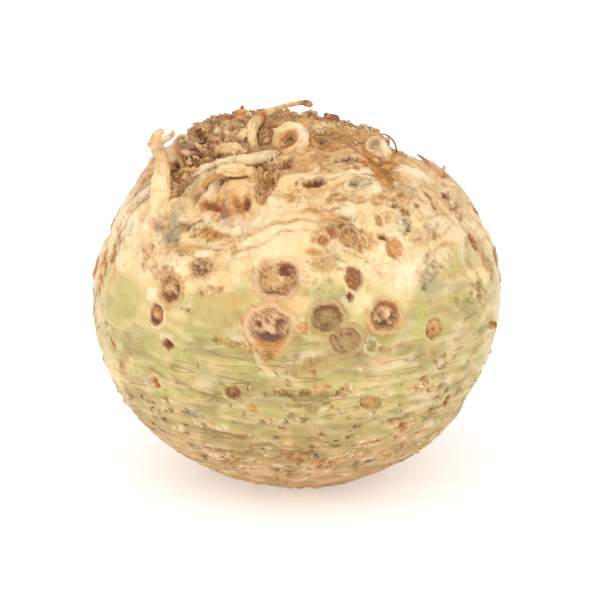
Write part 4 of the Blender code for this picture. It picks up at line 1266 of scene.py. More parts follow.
# each free root: the CAD piece it stands for, its limbs as points (x, y, z, radius in mm, base first,
# measured from the low corner of that piece), the tones from base to tip, how lumpy and how its end is
freeRoots = {
    "longArchedRoot": {
        "node": "long_arched_root", "slot": "pale_root", "sides": 28, "lumps": 0.1, "squash": 0.72,
        "limbs": [
            [(3.4, -4.4, -3.4, 1.2), (2.6, -2.6, -0.9, 1.25), (2.2, -0.6, 1.3, 1.4),
             (2.2, 2.9, 3.5, 1.7), (3.3, 5.9, 5.2, 1.75), (4.9, 7.9, 6.5, 1.5), (6.5, 9.4, 7.3, 1.15),
             (8.4, 10.4, 8.0, 0.85), (11.0, 11.1, 8.8, 0.72), (14.0, 11.6, 9.5, 0.7),
             (16.4, 12.0, 9.8, 0.75), (17.8, 12.2, 9.6, 1.0), (18.8, 12.2, 9.2, 1.0),
             (19.3, 12.2, 8.6, 0.5)],
            [(-1.8, -1.6, 0.9, 1.3), (-0.5, 0.4, 2.3, 1.25), (0.9, 2.4, 3.4, 1.2), (2.2, 4.4, 4.9, 1.1),
             (3.3, 5.9, 5.4, 0.7)],
        ],
        "tones": [(0.0, "tan"), (0.12, "paleRoot"), (0.38, "paleRoot"), (0.45, "ochre"), (0.5, "rust"),
                  (0.56, "peach"), (0.85, "peach"), (0.93, "umber"), (1.0, "pinkTan")],
    },
    "forkedRoot": {
        "node": "forked_root", "slot": "pale_root", "sides": 28, "lumps": 0.1, "squash": 0.8,
        "limbs": [
            [(3.8, 6.6, -0.6, 1.2), (4.0, 6.4, 2.8, 2.0), (4.2, 6.8, 6.8, 2.6), (4.5, 7.6, 10.8, 2.9),
             (4.8, 8.6, 14.4, 2.7), (5.0, 10.0, 17.4, 2.2), (5.0, 12.0, 19.6, 1.75),
             (4.2, 15.2, 21.4, 1.9), (3.0, 17.7, 23.1, 2.1), (2.7, 19.2, 24.9, 1.9),
             (3.1, 19.7, 26.3, 1.4), (4.2, 19.7, 27.2, 0.95), (5.0, 19.7, 27.4, 0.55)],
            [(3.4, 18.8, 24.0, 1.3), (5.0, 19.6, 24.9, 1.0), (6.4, 20.4, 25.5, 0.85),
             (7.3, 20.9, 26.3, 0.7), (7.4, 21.0, 27.4, 0.4)],
            [(2.6, 17.0, 23.0, 1.2), (1.0, 16.4, 24.0, 0.8), (0.3, 16.2, 24.6, 0.35)],
        ],
        "tones": [(0.0, "cream"), (0.45, "cream"), (0.58, "peach"), (0.75, "pinkTan"), (0.9, "peach"),
                  (1.0, "cream")],
    },
    "foldedTornRoot": {
        "node": "folded_torn_root", "slot": "pale_root", "sides": 28, "lumps": 0.1, "squash": 0.8,
        "limbs": [
            [(5.6, 3.6, -1.0, 1.7), (5.5, 3.4, 2.0, 2.0), (5.9, 3.8, 4.2, 2.2), (7.4, 4.4, 5.9, 2.2),
             (9.5, 4.6, 6.4, 2.35), (11.3, 4.2, 5.4, 2.5), (11.8, 3.0, 3.6, 2.4), (10.7, 1.4, 2.0, 2.1),
             (8.7, 0.0, 1.0, 1.7), (6.4, -1.3, 0.4, 1.1)],
            [(6.2, 3.2, 4.6, 1.5), (5.2, 2.4, 6.0, 1.1), (4.4, 1.8, 6.8, 0.6), (3.9, 1.6, 7.2, 0.2)],
        ],
        "tones": [(0.0, "tan"), (0.25, "peach"), (0.42, "paleRoot"), (0.55, "brightCream"),
                  (0.75, "paleRoot"), (0.9, "peach"), (1.0, "tan")],
        "channel": (8.6, 1.4, 3.8),
    },
    "crossingRoot": {
        "node": "crossing_root", "slot": "pale_root", "sides": 24, "lumps": 0.1, "squash": 0.85,
        "limbs": [
            [(0.4, 7.5, -0.6, 1.1), (3.4, 4.6, 2.6, 1.4), (7.0, 2.6, 4.0, 1.6), (10.2, 1.9, 4.5, 1.75),
             (13.0, 2.2, 4.7, 1.8), (15.6, 3.6, 4.9, 1.8), (18.2, 6.0, 5.2, 1.6), (20.2, 9.4, 4.8, 1.3),
             (21.2, 12.0, 3.6, 1.0)],
        ],
        "tones": [(0.0, "tan"), (0.2, "rootGreen"), (0.7, "rootGreen"), (0.85, "peach"), (1.0, "tan")],
    },
    "curledRootlet": {
        "node": "curled_rootlet", "slot": "pale_root", "sides": 14, "lumps": 0.1, "squash": 1.0,
        "limbs": [
            [(1.6, 1.2, -3.0, 0.7), (0.4, 0.8, 0.6, 0.6), (0.0, 0.8, 2.6, 0.55), (0.8, 0.8, 3.9, 0.5),
             (2.2, 0.8, 4.3, 0.5), (3.2, 0.8, 3.6, 0.45), (2.8, 0.8, 2.6, 0.3)],
        ],
        "tones": [(0.0, "tan"), (0.5, "pink"), (0.8, "paleRoot"), (1.0, "brightCream")],
    },
    "brownRootStump": {
        "node": "brown_root_stump", "slot": "brown_root", "sides": 36, "lumps": 0.5, "squash": 0.9,
        "limbs": [
            [(3.0, 3.0, -4.0, 3.4), (3.0, 2.6, -0.6, 3.4), (3.0, 2.2, 1.6, 2.8), (3.1, 2.0, 3.0, 1.6),
             (3.2, 2.0, 3.8, 0.5)],
            [(3.0, 2.0, 2.6, 0.9), (3.1, 1.8, 4.0, 0.45), (3.0, 1.6, 4.8, 0.15)],
        ],
        "tones": [(0.0, "umber"), (0.4, "rust"), (0.7, "rust"), (0.86, "orange"), (1.0, "paleRoot")],
    },
    "wiryRootlet": {
        "node": "wiry_rootlet", "slot": "brown_root", "sides": 10, "lumps": 0.12, "squash": 1.0,
        "limbs": [
            [(0.4, 1.0, -3.0, 0.42), (1.4, 1.4, 2.6, 0.36), (3.1, 1.9, 4.6, 0.3), (4.8, 1.9, 4.6, 0.27),
             (6.6, 1.9, 3.3, 0.26), (7.6, 1.8, 1.7, 0.24), (8.0, 1.2, -0.6, 0.22)],
        ],
        "tones": [(0.0, "ochre"), (0.4, "pinkTan"), (0.75, "scarBrown"), (1.0, "umber")],
    },
    "roundCutStub": {
        "node": "round_cut_stub", "slot": "pale_root", "sides": 32, "lumps": 0.16, "squash": 0.9,
        "cut": (0.8, 1.2),
        "limbs": [
            [(5.0, 8.0, -3.5, 3.4), (4.0, 5.4, 0.6, 3.2), (3.0, 2.6, 3.4, 3.0), (2.2, 1.2, 4.6, 2.7)],
        ],
        "tones": [(0.0, "tan"), (0.4, "cream"), (0.9, "brightCream"), (1.0, "peach")], "pith": "grey",
    },
    "peeledShardLarge": {
        "node": "peeled_shard_large", "slot": "pink_peel", "sides": 16, "lumps": 0.35, "squash": 0.35,
        "limbs": [
            [(7.4, 0.6, -0.6, 0.45), (5.8, 1.4, 1.0, 0.75), (4.0, 2.0, 2.6, 0.75),
             (2.2, 2.5, 3.8, 0.55), (0.9, 2.9, 4.7, 0.34), (-0.2, 3.2, 5.4, 0.12)],
            [(4.6, 1.8, 2.2, 0.4), (4.9, 2.0, 3.4, 0.16), (5.0, 2.0, 4.2, 0.06)],
        ],
        "tones": [(0.0, "pinkTan"), (0.5, "pink"), (0.8, "scarBrown"), (1.0, "rust")],
    },
    "peeledShardSmall": {
        "node": "peeled_shard_small", "slot": "pink_peel", "sides": 16, "lumps": 0.3, "squash": 0.4,
        "limbs": [
            [(-0.6, 0.6, -0.4, 0.6), (-0.2, 1.0, 1.2, 0.8), (0.6, 1.4, 2.4, 0.75), (1.2, 1.7, 3.2, 0.5),
             (1.5, 1.8, 4.0, 0.15)],
        ],
        "tones": [(0.0, "peach"), (0.6, "pink"), (1.0, "orange")],
    },
    "rightSideStub": {
        "node": "right_side_stub", "slot": "brown_root", "sides": 20, "lumps": 0.28, "squash": 0.85,
        "cut": (0.4, 0.4),
        "limbs": [
            [(-3.0, 3.4, 1.3, 1.6), (0.0, 2.0, 1.4, 1.25), (1.2, 1.4, 1.5, 0.85)],
        ],
        "tones": [(0.0, "tan"), (0.5, "scarTan"), (1.0, "rust")], "pith": "umber",
    },
    "topCutStub": {
        "node": "top_cut_stub", "slot": "pale_root", "sides": 28, "lumps": 0.22, "squash": 0.9,
        "cut": (0.5, 0.8),
        "limbs": [
            [(2.4, 2.0, -4.0, 3.0), (2.6, 2.2, -0.8, 2.8), (2.9, 2.4, 1.4, 2.5), (3.1, 2.5, 2.4, 2.1)],
        ],
        "tones": [(0.0, "tan"), (0.6, "scarBrown"), (1.0, "maroon")], "pith": "maroon",
    },
    "backThickRoot": {
        "node": "back_thick_root", "slot": "pale_root", "sides": 28, "lumps": 0.14, "squash": 0.85,
        "cut": (0.5, 0.8),
        "limbs": [
            [(18.5, -1.5, -2.0, 3.4), (18.4, 3.0, 4.2, 3.2), (17.0, 6.6, 7.2, 2.9),
             (14.2, 9.6, 8.2, 2.7), (10.4, 11.4, 7.4, 2.4), (6.6, 11.8, 5.6, 2.2),
             (3.4, 11.2, 3.6, 1.9), (1.4, 10.4, 1.8, 1.7)],
            [(10.0, 11.4, 7.6, 1.2), (8.6, 12.4, 9.8, 0.8), (7.0, 12.8, 10.9, 0.4)],
        ],
        "tones": [(0.0, "tan"), (0.2, "paleRoot"), (0.6, "peach"), (0.9, "tan"), (1.0, "pinkTan")],
        "pith": "scarBrown",
    },
    "backHookedRootlet": {
        "node": "back_hooked_rootlet", "slot": "brown_root", "sides": 18, "lumps": 0.16, "squash": 0.95,
        "limbs": [
            [(-2.0, -8.2, -5.8, 1.7), (0.4, -1.2, -0.3, 1.6), (3.5, 3.2, 3.3, 1.3),
             (8.0, 4.8, 4.1, 1.0), (10.4, 4.6, 3.2, 0.8), (11.8, 4.2, 1.7, 0.55),
             (12.3, 3.9, 0.4, 0.2)],
        ],
        "tones": [(0.0, "tan"), (0.4, "scarBrown"), (0.8, "rust"), (1.0, "umber")],
    },
    "backCutStub": {
        "node": "back_cut_stub", "slot": "pale_root", "sides": 28, "lumps": 0.16, "squash": 0.9,
        "cut": (0.5, 0.7),
        "limbs": [
            [(-2.5, -3.5, 0.8, 2.8), (1.4, 1.6, 2.4, 2.6), (3.4, 4.0, 3.2, 2.4), (4.4, 5.2, 3.4, 2.1)],
        ],
        "tones": [(0.0, "tan"), (0.6, "cream"), (1.0, "peach")], "pith": "umber",
    },
}

# more of the tangle, lying on the skin without a CAD piece of its own: points in mm, then tones
tangle = [
    (
     [(-26.5, -32.0, 96.0, 0.9), (-23.4, -34.2, 99.4, 1.2), (-20.0, -35.4, 101.0, 1.4),
      (-16.5, -36.0, 101.2, 1.6), (-13.2, -36.0, 100.6, 1.5), (-11.2, -35.6, 99.4, 1.3)],
     ["tan", "paleRoot", "peach"]),
    (
     [(-12.4, -35.0, 99.6, 1.4), (-10.6, -37.2, 97.2, 1.6), (-9.8, -40.4, 94.2, 1.7),
      (-10.0, -43.4, 90.4, 1.6), (-11.0, -46.0, 86.4, 1.2)], ["peach", "paleRoot", "cream"]),
    (
     [(-26.0, -35.0, 96.8, 0.6), (-24.6, -35.6, 98.8, 0.7), (-22.2, -35.8, 99.9, 0.7),
      (-20.0, -36.4, 99.2, 0.6)], ["ochre", "tan", "scarBrown"]),
    ([(-29.5, -28.0, 98.4, 1.0), (-26.0, -30.4, 100.6, 1.2), (-22.6, -31.6, 102.0, 1.1)],
     ["pinkTan", "paleFlake", "rootGreen"]),
    (
     [(-22.0, -24.0, 104.5, 1.5), (-20.0, -26.0, 105.6, 1.5), (-17.0, -26.4, 105.6, 1.4),
      (-15.0, -26.0, 104.2, 1.2)], ["tan", "paleRoot", "peach"]),
    (
     [(-11.5, -6.0, 108.0, 1.3), (-8.0, -8.0, 109.4, 1.3), (-4.0, -10.0, 109.4, 1.2),
      (0.0, -12.0, 109.0, 1.0)], ["ochre", "tan", "ochre"]),
    (
     [(1.5, -24.0, 104.5, 1.6), (-2.0, -27.0, 103.6, 1.6), (-5.5, -29.5, 102.2, 1.4),
      (-8.5, -32.0, 100.6, 1.1)], ["peach", "paleRoot", "tan"]),
]
tangleLook = {"sides": 28, "lumps": 0.5, "squash": 0.9}

# pale hairs that cross the tangle and a few more on the root end: points in mm, radius last
fineHairs = [
    ([(-7.2, -28.4, 105.4), (-7.8, -30.4, 105.0), (-9.2, -31.6, 104.2), (-10.6, -32.2, 102.8)], 0.22),
    ([(-7.2, -28.4, 105.4), (-7.4, -30.6, 104.8), (-7.8, -32.2, 103.6), (-8.0, -33.0, 102.2)], 0.24),
    ([(-7.2, -28.4, 105.4), (-6.6, -30.4, 104.6), (-6.2, -31.8, 103.2), (-5.2, -32.6, 101.8)], 0.26),
    ([(-7.2, -28.4, 105.4), (-5.6, -29.0, 105.4), (-4.6, -30.0, 104.4)], 0.16),
    ([(-18.2, -32.0, 106.0), (-17.4, -33.4, 105.2), (-17.6, -34.6, 104.0), (-18.8, -35.4, 102.8)],
     0.24),
    ([(-18.8, -35.2, 103.0), (-20.4, -35.4, 102.2), (-22.4, -35.2, 101.4), (-24.2, -34.6, 101.0)],
     0.22),
    ([(-18.6, -34.6, 103.4), (-18.4, -36.0, 102.0), (-17.6, -36.8, 101.0)], 0.18),
    ([(-10.4, -36.4, 98.6), (-9.8, -37.2, 99.8), (-8.8, -37.4, 99.0), (-8.8, -37.8, 97.6)], 0.2),
    ([(-9.4, -38.0, 97.6), (-8.4, -37.8, 98.8), (-7.4, -37.6, 98.0), (-7.6, -38.4, 96.6)], 0.18),
    ([(21.0, -11.0, 108.0), (20.0, -11.0, 109.4), (19.2, -11.4, 110.2)], 0.28),
    ([(22.2, -11.0, 107.0), (21.6, -11.0, 108.6), (22.0, -11.4, 109.6)], 0.22),
]


def growLimb(points, sides, steps=10):
    # a tapering tube along the points, with the rings in order from base to tip
    deselect()
    bpy.ops.curve.primitive_bezier_curve_add(location=(0, 0, 0))
    shape = bpy.context.object.data
    shape.dimensions, shape.resolution_u = "3D", steps
    shape.bevel_depth, shape.bevel_resolution = 1.0, (sides - 4) // 2
    spline = shape.splines[0]
    spline.bezier_points.add(len(points) - 2)
    for knot, (x, y, z, radius) in zip(spline.bezier_points, points):
        knot.co, knot.radius = Vector((x, y, z)) * mm, radius * mm
        knot.handle_left_type = knot.handle_right_type = "AUTO"
    bpy.ops.object.convert(target="MESH")
    limb = bpy.context.object
    startEdit(limb)
    bpy.ops.mesh.fill_holes(sides=0)
    endEdit()
    return limb


def tonesAlong(along, stops):
    knots = [stop[0] for stop in stops]
    colours = np.array([palette[stop[1]] for stop in stops])
    return np.stack([np.interp(along, knots, colours[:, i]) for i in range(3)], axis=1)


def cutEnd(limb, sides, rim, depth):
    # the cap at the tip gets a rim and a sunken pith; each step in is a part of the rim's width and a drop
    caps = [face for face in limb.data.polygons if len(face.vertices) >= sides]
    tip = max(caps, key=lambda face: max(face.vertices)).index
    startEdit(limb, "FACE", "DESELECT")
    endEdit()
    limb.data.polygons[tip].select = True
    bpy.ops.object.mode_set(mode="EDIT")
    for part, drop in ((0.5, -0.1), (1.0, 0.3), (0.7, depth * 0.6), (0.5, depth * 0.4)):
        bpy.ops.mesh.inset(thickness=rim * mm * part, depth=-drop * mm)
    endEdit()


def finishLimb(limb, count, sides, settings, seed):
    # ribs, lumps and tones; the points of the cut end come after the rings, and move with the last of them
    mesh = limb.data
    points = getPoints(mesh) / mm
    body, total = count * sides, len(points)
    middles = points[:body].reshape(count, sides, 3).mean(axis=1)
    run = np.concatenate([[0], np.cumsum(np.linalg.norm(np.diff(middles, axis=0), axis=1))])
    ringOf = np.concatenate([np.repeat(np.arange(count), sides), np.full(total - body, count - 1)])
    angle = np.concatenate([np.tile(np.arange(sides) / sides * math.tau, count), np.zeros(total - body)])
    along = run[ringOf] / run[-1]
    radial = points - middles[ringOf]
    radial[:, 1] *= settings["squash"]
    lumps = settings["lumps"]
    streak = np.stack([np.cos(angle) * 1.4, np.sin(angle) * 1.4, run[ringOf] / 7 + seed], axis=1)
    ribs = np.stack([run[ringOf], np.zeros(total), np.full(total, seed)], axis=1)
    scale = (1 + 1.1 * lumps * grain(points, 2.6, seed) + 0.6 * lumps * grain(points, 1.1, seed + 3)
             + 0.7 * lumps * grain(streak, 1.0, seed) + 0.05 * grain(ribs, 0.8))
    if "channel" in settings:
        toward = np.array(settings["channel"]) + settings["corner"] - middles[ringOf]
        toward /= np.linalg.norm(toward, axis=1)[:, None]
        facing = np.einsum("ij,ij->i", radial / np.linalg.norm(radial, axis=1)[:, None], toward)
        scale *= 1 - 0.4 * smooth(0.45, 0.9, facing) * smooth(0.05, 0.2, along) * smooth(1.0, 0.85, along)
    setPoints(mesh, (middles[ringOf] + radial * scale[:, None]) * mm)

    tone = tonesAlong(along, settings["tones"])
    blotch = grain(points, 1.8, seed + 11)
    coats = [(0.35 * smooth(0.1, 0.5, blotch), "scarBrown"),
             (0.3 * smooth(0.1, 0.5, -blotch), "brightCream")]
    if "channel" in settings:
        coats.append((0.8 * smooth(0.5, 0.95, facing), "fibre"))
    for amount, tint in coats:
        tone += (palette[tint] - tone) * amount[:, None]
    if "pith" in settings:
        rim, pith = body + 2 * sides, body + 3 * sides
        tone[rim:pith] = 0.5 * tone[rim:pith] + 0.5 * palette[settings["pith"]]
        tone[pith:] = palette[settings["pith"]]
    addColour(mesh, "limbTone", tone)
    addVector(mesh, "limbPlace", streak)
    mesh.shade_smooth()


def rootMaterial(name, roughness, fleck):
    # raw root: pale flesh under a thin dried skin, matt, streaked along its length
    material, tree, shader = startMaterial(name)
    tone = addNode(tree, "ShaderNodeAttribute", attribute_name="limbTone")
    place = addNode(tree, "ShaderNodeAttribute", attribute_name="limbPlace")
    spot = addNode(tree, "ShaderNodeTexCoord")
    streak = addNode(tree, "ShaderNodeTexNoise", {"Vector": place.outputs["Vector"], "Scale": 2.2,
                                                  "Detail": 3.0})
    speck = addNode(tree, "ShaderNodeTexNoise", {"Vector": spot.outputs["Object"], "Scale": 1 / (0.7 * mm),
                                                 "Detail": 3.0})
    colour = tone.outputs["Color"]
    for source, none, strength, tint in ((streak, 0.52, 0.4, "scarBrown"), (speck, 0.6, fleck, "umber")):
        amount = addNode(tree, "ShaderNodeMapRange", {"Value": source.outputs["Fac"], "From Min": none,
                                                      "From Max": 0.72, "To Max": strength})
        colour = addNode(tree, "ShaderNodeMix", {0: amount.outputs["Result"], 6: colour,
                                                 7: (*palette[tint], 1)}, data_type="RGBA").outputs[2]
    tree.links.new(colour, shader.inputs["Base Color"])
    ground = addNode(tree, "ShaderNodeMath", {0: streak.outputs["Fac"], 1: speck.outputs["Fac"]},
                     operation="ADD")
    bump = addNode(tree, "ShaderNodeBump", {"Height": ground.outputs[0], "Distance": 0.5 * mm,
                                            "Strength": 0.6})
    tree.links.new(bump.outputs["Normal"], shader.inputs["Normal"])
    shader.inputs["Roughness"].default_value = roughness
    shader.inputs["IOR"].default_value = 1.42
    return material


rootLooks = {
    "pale_root": rootMaterial("rawRootFlesh", 0.62, 0.22),
    "brown_root": rootMaterial("driedRootBark", 0.8, 0.45),
    "pink_peel": rootMaterial("driedPeel", 0.7, 0.4),
}


def joinPieces(name, items):
    deselect()
    for item in items:
        item.select_set(True)
    bpy.context.view_layer.objects.active = items[0]
    if len(items) > 1:
        bpy.ops.object.join()
    items[0].name = name
    return items[0]


def makeLimbs(limbs, settings, seed):
    made = []
    for number, limb in enumerate(limbs):
        item = growLimb(limb, settings["sides"])
        count = len(item.data.vertices) // settings["sides"]
        if "cut" in settings and number == 0:
            cutEnd(item, settings["sides"], *settings["cut"])
        finishLimb(item, count, settings["sides"], settings, seed + number * 5.5)
        made.append(item)
    return made


for number, (name, root) in enumerate(freeRoots.items()):
    corner = np.array(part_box(root["node"])[0]) / mm
    root["corner"] = corner
    limbs = [[(x + corner[0], y + corner[1], z + corner[2], radius) for x, y, z, radius in limb]
             for limb in root["limbs"]]
    piece = joinPieces(name, makeLimbs(limbs, root, seed=number * 7.1))
    finishPiece(piece, rootLooks[root["slot"]])
    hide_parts(root["node"])
print("free roots grown:", len(freeRoots))

knots = []
for number, (route, tones) in enumerate(tangle):
    stops = [(i / (len(tones) - 1), tone) for i, tone in enumerate(tones)]
    knots += makeLimbs([route], {**tangleLook, "tones": stops}, seed=100 + number * 3.3)
finishPiece(joinPieces("tangledRoots", knots), rootLooks["pale_root"])
print("tangle laid")


def treeOf(*items):
    # a tree of the faces of some pieces, in mm, without the large ones that close them; a small face that
    # closes a gap can start at any of its corners, so it is turned to start at the lowest one
    verts, faces = [], []
    for item in items:
        base = len(verts)
        verts += [Vector(p) for p in getPoints(item.data) / mm]
        for face in item.data.polygons:
            corners = [base + corner for corner in face.vertices]
            if len(corners) != 4:
                first = corners.index(min(corners))
                corners = corners[first:] + corners[:first]
            if len(corners) < 9:
                faces.append(corners)
    return BVHTree.FromPolygons(verts, faces)


def makePiece(name, verts, faces, tones, places):
    mesh = bpy.data.meshes.new(name)
    mesh.from_pydata([tuple(v[i] * mm for i in range(3)) for v in verts], [], faces)
    addColour(mesh, "limbTone", np.array(tones))
    addVector(mesh, "limbPlace", np.array(places))
    mesh.shade_smooth()
    piece = bpy.data.objects.new(name, mesh)
    bpy.context.scene.collection.objects.link(piece)
    startEdit(piece)
    bpy.ops.mesh.normals_make_consistent(inside=False)
    endEdit()
    return piece


def sweepStrands(name, strands, sides, rough=0.0, flat=1.0):
    # strands of (points, radii, tones) become one mesh of thin closed tubes
    verts, faces, tones, places = [], [], [], []
    turn = np.arange(sides) / sides * math.tau
    for number, (route, radii, ends) in enumerate(strands):
        base = len(verts)
        heading = np.gradient(route, axis=0)
        heading /= np.linalg.norm(heading, axis=1)[:, None] + 1e-9
        side = np.cross(heading, (0.31, 0.2, 0.93))
        side /= np.linalg.norm(side, axis=1)[:, None] + 1e-9
        other = np.cross(heading, side)
        for i, spot in enumerate(route):
            t = i / (len(route) - 1)
            ring = radii[i] * (np.cos(turn)[:, None] * side[i] + flat * np.sin(turn)[:, None] * other[i])
            if rough:
                ring = ring * (1 + rough * grain(spot + ring, 0.9, number))[:, None]
            verts += (ring + spot).tolist()
            tones += [(palette[ends[0]] * (1 - t) + palette[ends[1]] * t).tolist()] * sides
            places += [(math.cos(a), math.sin(a), i * 0.6 + number) for a in turn]
            if i:
                low, high = base + (i - 1) * sides, base + i * sides
                faces += [(low + k, low + (k + 1) % sides, high + (k + 1) % sides, high + k)
                          for k in range(sides)]
        last = base + (len(route) - 1) * sides
        faces += [tuple(base + k for k in reversed(range(sides))), tuple(last + k for k in range(sides))]
    return makePiece(name, verts, faces, tones, places)


def anyDirection():
    return Vector((draw.uniform(-1, 1), draw.uniform(-1, 1), draw.uniform(-1, 1)))


def walkOnSkin(start, length, step, height, curl, rise):
    # a route that creeps over the skin from a start point, turning a little at each step
    spot, normal, face, gap = skinTree.find_nearest(Vector(start))
    side = normal.cross(anyDirection()).normalized()
    route, turn = [spot + normal * height], draw.uniform(-curl, curl)
    count = max(3, int(length / step))
    for i in range(count):
        turn += draw.uniform(-curl, curl) * 0.7
        side = (side + normal.cross(side) * turn * step).normalized()
        spot, normal, face, gap = skinTree.find_nearest(route[-1] + side * step)
        side = (side - normal * side.dot(normal)).normalized()
        above = height + rise * math.sin(math.pi * (i + 1) / count) + draw.uniform(-0.1, 0.1)
        route.append(spot + normal * above)
    return np.array([tuple(p) for p in route])


def within(azimuths=(-181, 181), latitudes=(-91, 91)):
    azimuth, latitude = field["azimuth"], field["latitude"]
    return ((azimuths[0] < azimuth) & (azimuth < azimuths[1])
            & (latitudes[0] < latitude) & (latitude < latitudes[1]))


skinTree = treeOf(skin, crust)
skinPoints = getPoints(skin.data) / mm
ragged = field["ragged"] > 0.7
zones = {
    "mat": ragged & ~within((5, 46), (-91, 63)),
    "matRight": ragged & within((8, 60), (62, 76)),
    "matLeft": ragged & within((-80, -34), (-91, 73)),
    "groove": ragged & within((34, 54), (-91, 56)),
    "tuft": ragged & within((-20, 2), (-91, 58)),
    "foot": within(latitudes=(-55, 0)),
}
draw = random.Random(2711)          # one stream of draws for all that is scattered, in the order below

# length along the skin, radius, height above it and rise between the ends are in mm, each from and to;
# curl is how sharply a strand turns, rough and flat are how knobbly and how flattened its section is
strandSettings = {
    "mattedRoots": {
        "count": 56, "zone": "mat", "length": (3, 9), "radius": (0.35, 0.9), "height": (-0.3, 0.1),
        "rise": (0.0, 0.5), "curl": 0.4, "sides": 10, "step": 0.7, "look": "pale_root", "rough": 1.0,
        "tones": ["tan", "peach", "paleRoot", "amber", "pinkTan", "ochre", "peach"],
    },
    "rootFibres": {
        "count": 130, "zone": "mat", "length": (3, 9), "radius": (0.07, 0.13), "height": (0.05, 0.4),
        "rise": (0.0, 0.8), "curl": 0.35, "sides": 4, "step": 0.9, "look": "brown_root",
        "tones": ["fibre", "ochre", "amber", "tan", "paleFlake", "rust"],
    },
    "fibreMat": {
        "count": 150, "zone": "matRight", "length": (5, 15), "radius": (0.05, 0.11), "height": (0.0, 0.25),
        "rise": (0.0, 0.3), "curl": 0.14, "sides": 4, "step": 0.8, "look": "pale_root",
        "tones": ["amber", "peach", "paleRoot", "orange"],
    },
    "grooveFibres": {
        "count": 90, "zone": "groove", "length": (4, 9), "radius": (0.05, 0.1), "height": (0.05, 0.4),
        "rise": (0.0, 0.5), "curl": 0.12, "sides": 4, "step": 0.7, "look": "pale_root",
        "tones": ["amber", "orange", "amber", "orange"],
    },
    "hairTuft": {
        "count": 55, "zone": "tuft", "length": (2, 5), "radius": (0.07, 0.14), "height": (0.1, 0.6),
        "rise": (0.0, 0.8), "curl": 0.5, "sides": 4, "step": 0.6, "look": "brown_root",
        "tones": ["scarBrown", "paleRoot", "fibre", "amber", "umber"],
    },
    "barkShreds": {
        "count": 32, "zone": "mat", "length": (2, 7), "radius": (0.4, 0.9), "height": (-0.2, 0.2),
        "rise": (0.0, 0.8), "curl": 0.5, "sides": 8, "step": 0.6, "look": "pale_root", "rough": 0.8,
        "flat": 0.25, "tones": ["peach", "paleFlake", "rust", "amber", "cream", "pinkTan"],
    },
    "leftShreds": {
        "count": 34, "zone": "matLeft", "length": (2, 7), "radius": (0.9, 1.7), "height": (-0.2, 0.3),
        "rise": (0.0, 0.6), "curl": 0.3, "sides": 10, "step": 0.6, "look": "pale_root", "rough": 0.6,
        "flat": 0.5, "tones": ["peach", "paleFlake", "peach", "scarTan", "cream", "pinkTan", "maroon"],
    },
    "skinFlakes": {
        "count": 140, "zone": "foot", "length": (0.8, 2.2), "radius": (0.15, 0.4), "height": (-0.05, 0.1),
        "rise": (0.0, 0.3), "curl": 0.2, "sides": 6, "step": 0.4, "look": "pale_root", "rough": 0.6,
        "flat": 0.35, "tones": ["paleFlake", "cream", "lowTan", "scarTan"],
    },
}


def pickStart(spots):
    return skinPoints[spots[draw.randrange(len(spots))]]


def scatterStrands(name, settings):
    spots = np.where(zones[settings["zone"]])[0]
    strands = []
    for i in range(settings["count"]):
        start = pickStart(spots)
        thick = draw.uniform(*settings["radius"])
        route = walkOnSkin(start, draw.uniform(*settings["length"]), settings["step"],
                           draw.uniform(*settings["height"]) + 0.3 * thick, settings["curl"],
                           draw.uniform(*settings["rise"]))
        t = np.linspace(0, 1, len(route))
        swell = 1 + 0.22 * grain(route, 1.4, i * 0.7)
        radii = thick * swell * np.minimum(1, 0.25 + 4 * t) * np.minimum(1, 0.3 + 3.0 * (1 - t))
        strands.append((route, radii, (draw.choice(settings["tones"]), draw.choice(settings["tones"]))))
    piece = sweepStrands(name, strands, settings["sides"],
                         settings.get("rough", 0.0), settings.get("flat", 1.0))
    finishPiece(piece, rootLooks[settings["look"]])


for name, settings in strandSettings.items():
    scatterStrands(name, settings)
print("fibres laid")

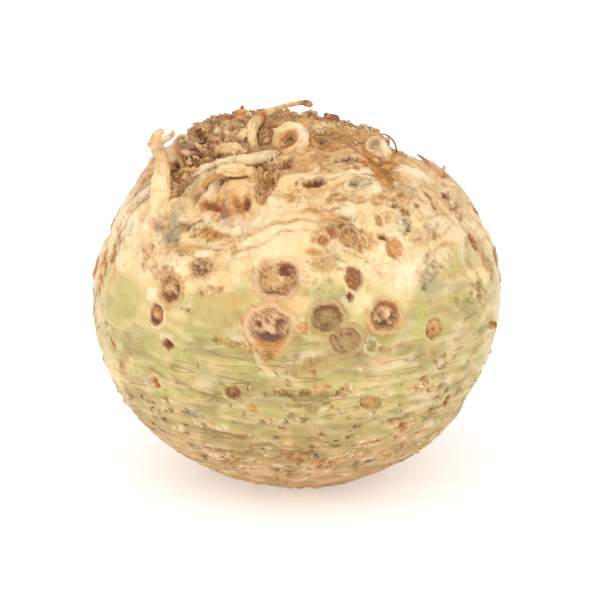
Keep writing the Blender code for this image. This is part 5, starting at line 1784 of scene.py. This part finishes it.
crumbSettings = {
    # size in mm, from and to, and how many of its sizes it stands above the skin
    "pithCrumbs": {
        "count": 60, "zone": "mat", "size": (0.2, 0.6), "above": 0.2, "look": "pale_root",
        "tones": ["paleFlake", "peach", "tan", "cream", "pinkTan", "scarTan"],
    },
    "soilCrumbs": {
        "count": 90, "zone": "mat", "size": (0.25, 0.6), "above": 0.1, "look": "brown_root",
        "tones": ["umber", "darkBrown", "maroon", "rust"],
    },
}


def makeCrumbs(name, settings):
    # one crumb is modelled and copied, each copy turned, stretched and set on the skin
    deselect()
    bpy.ops.mesh.primitive_ico_sphere_add(subdivisions=2, radius=1, location=(0, 0, 0))
    model = bpy.context.object
    shape = getPoints(model.data)
    shape *= (1 + 0.7 * grain(shape, 0.7, 3.0))[:, None]
    corners = [tuple(face.vertices) for face in model.data.polygons]
    bpy.data.objects.remove(model, do_unlink=True)
    spots = np.where(zones[settings["zone"]])[0]
    verts, faces, colours = [], [], []
    for i in range(settings["count"]):
        spot, normal, face, gap = skinTree.find_nearest(Vector(pickStart(spots)))
        wide = draw.uniform(*settings["size"])
        across = normal.cross(anyDirection().normalized()).normalized()
        along = normal.cross(across)
        base = len(verts)
        stretch, flat = draw.uniform(0.7, 1.9), draw.uniform(0.4, 0.9)
        copy = (np.outer(shape[:, 0] * stretch, across) + np.outer(shape[:, 1], along)
                + np.outer(shape[:, 2] * flat, normal)) * wide
        copy += np.array(spot + normal * wide * settings["above"])
        verts += copy.tolist()
        faces += [tuple(base + k for k in corner) for corner in corners]
        colour = palette[draw.choice(settings["tones"])] * draw.uniform(0.85, 1.05)
        colours += [colour.tolist()] * len(shape)
    piece = makePiece(name, verts, faces, colours, verts)
    finishPiece(piece, rootLooks[settings["look"]])


for name, settings in crumbSettings.items():
    makeCrumbs(name, settings)

hairSteps = 12
hairs = []
for route, thick in fineHairs:
    fine = np.linspace(0, len(route) - 1, hairSteps)
    eased = np.stack([np.interp(fine, range(len(route)), np.array(route)[:, k]) for k in range(3)], axis=1)
    eased[1:-1] = (eased[:-2] + 2 * eased[1:-1] + eased[2:]) / 4
    hairs.append((eased, thick * np.linspace(1.0, 0.5, hairSteps), ("brightCream", "brightCream")))
finishPiece(sweepStrands("paleHairs", hairs, 6), rootLooks["pale_root"])
print("crumbs and hairs set")
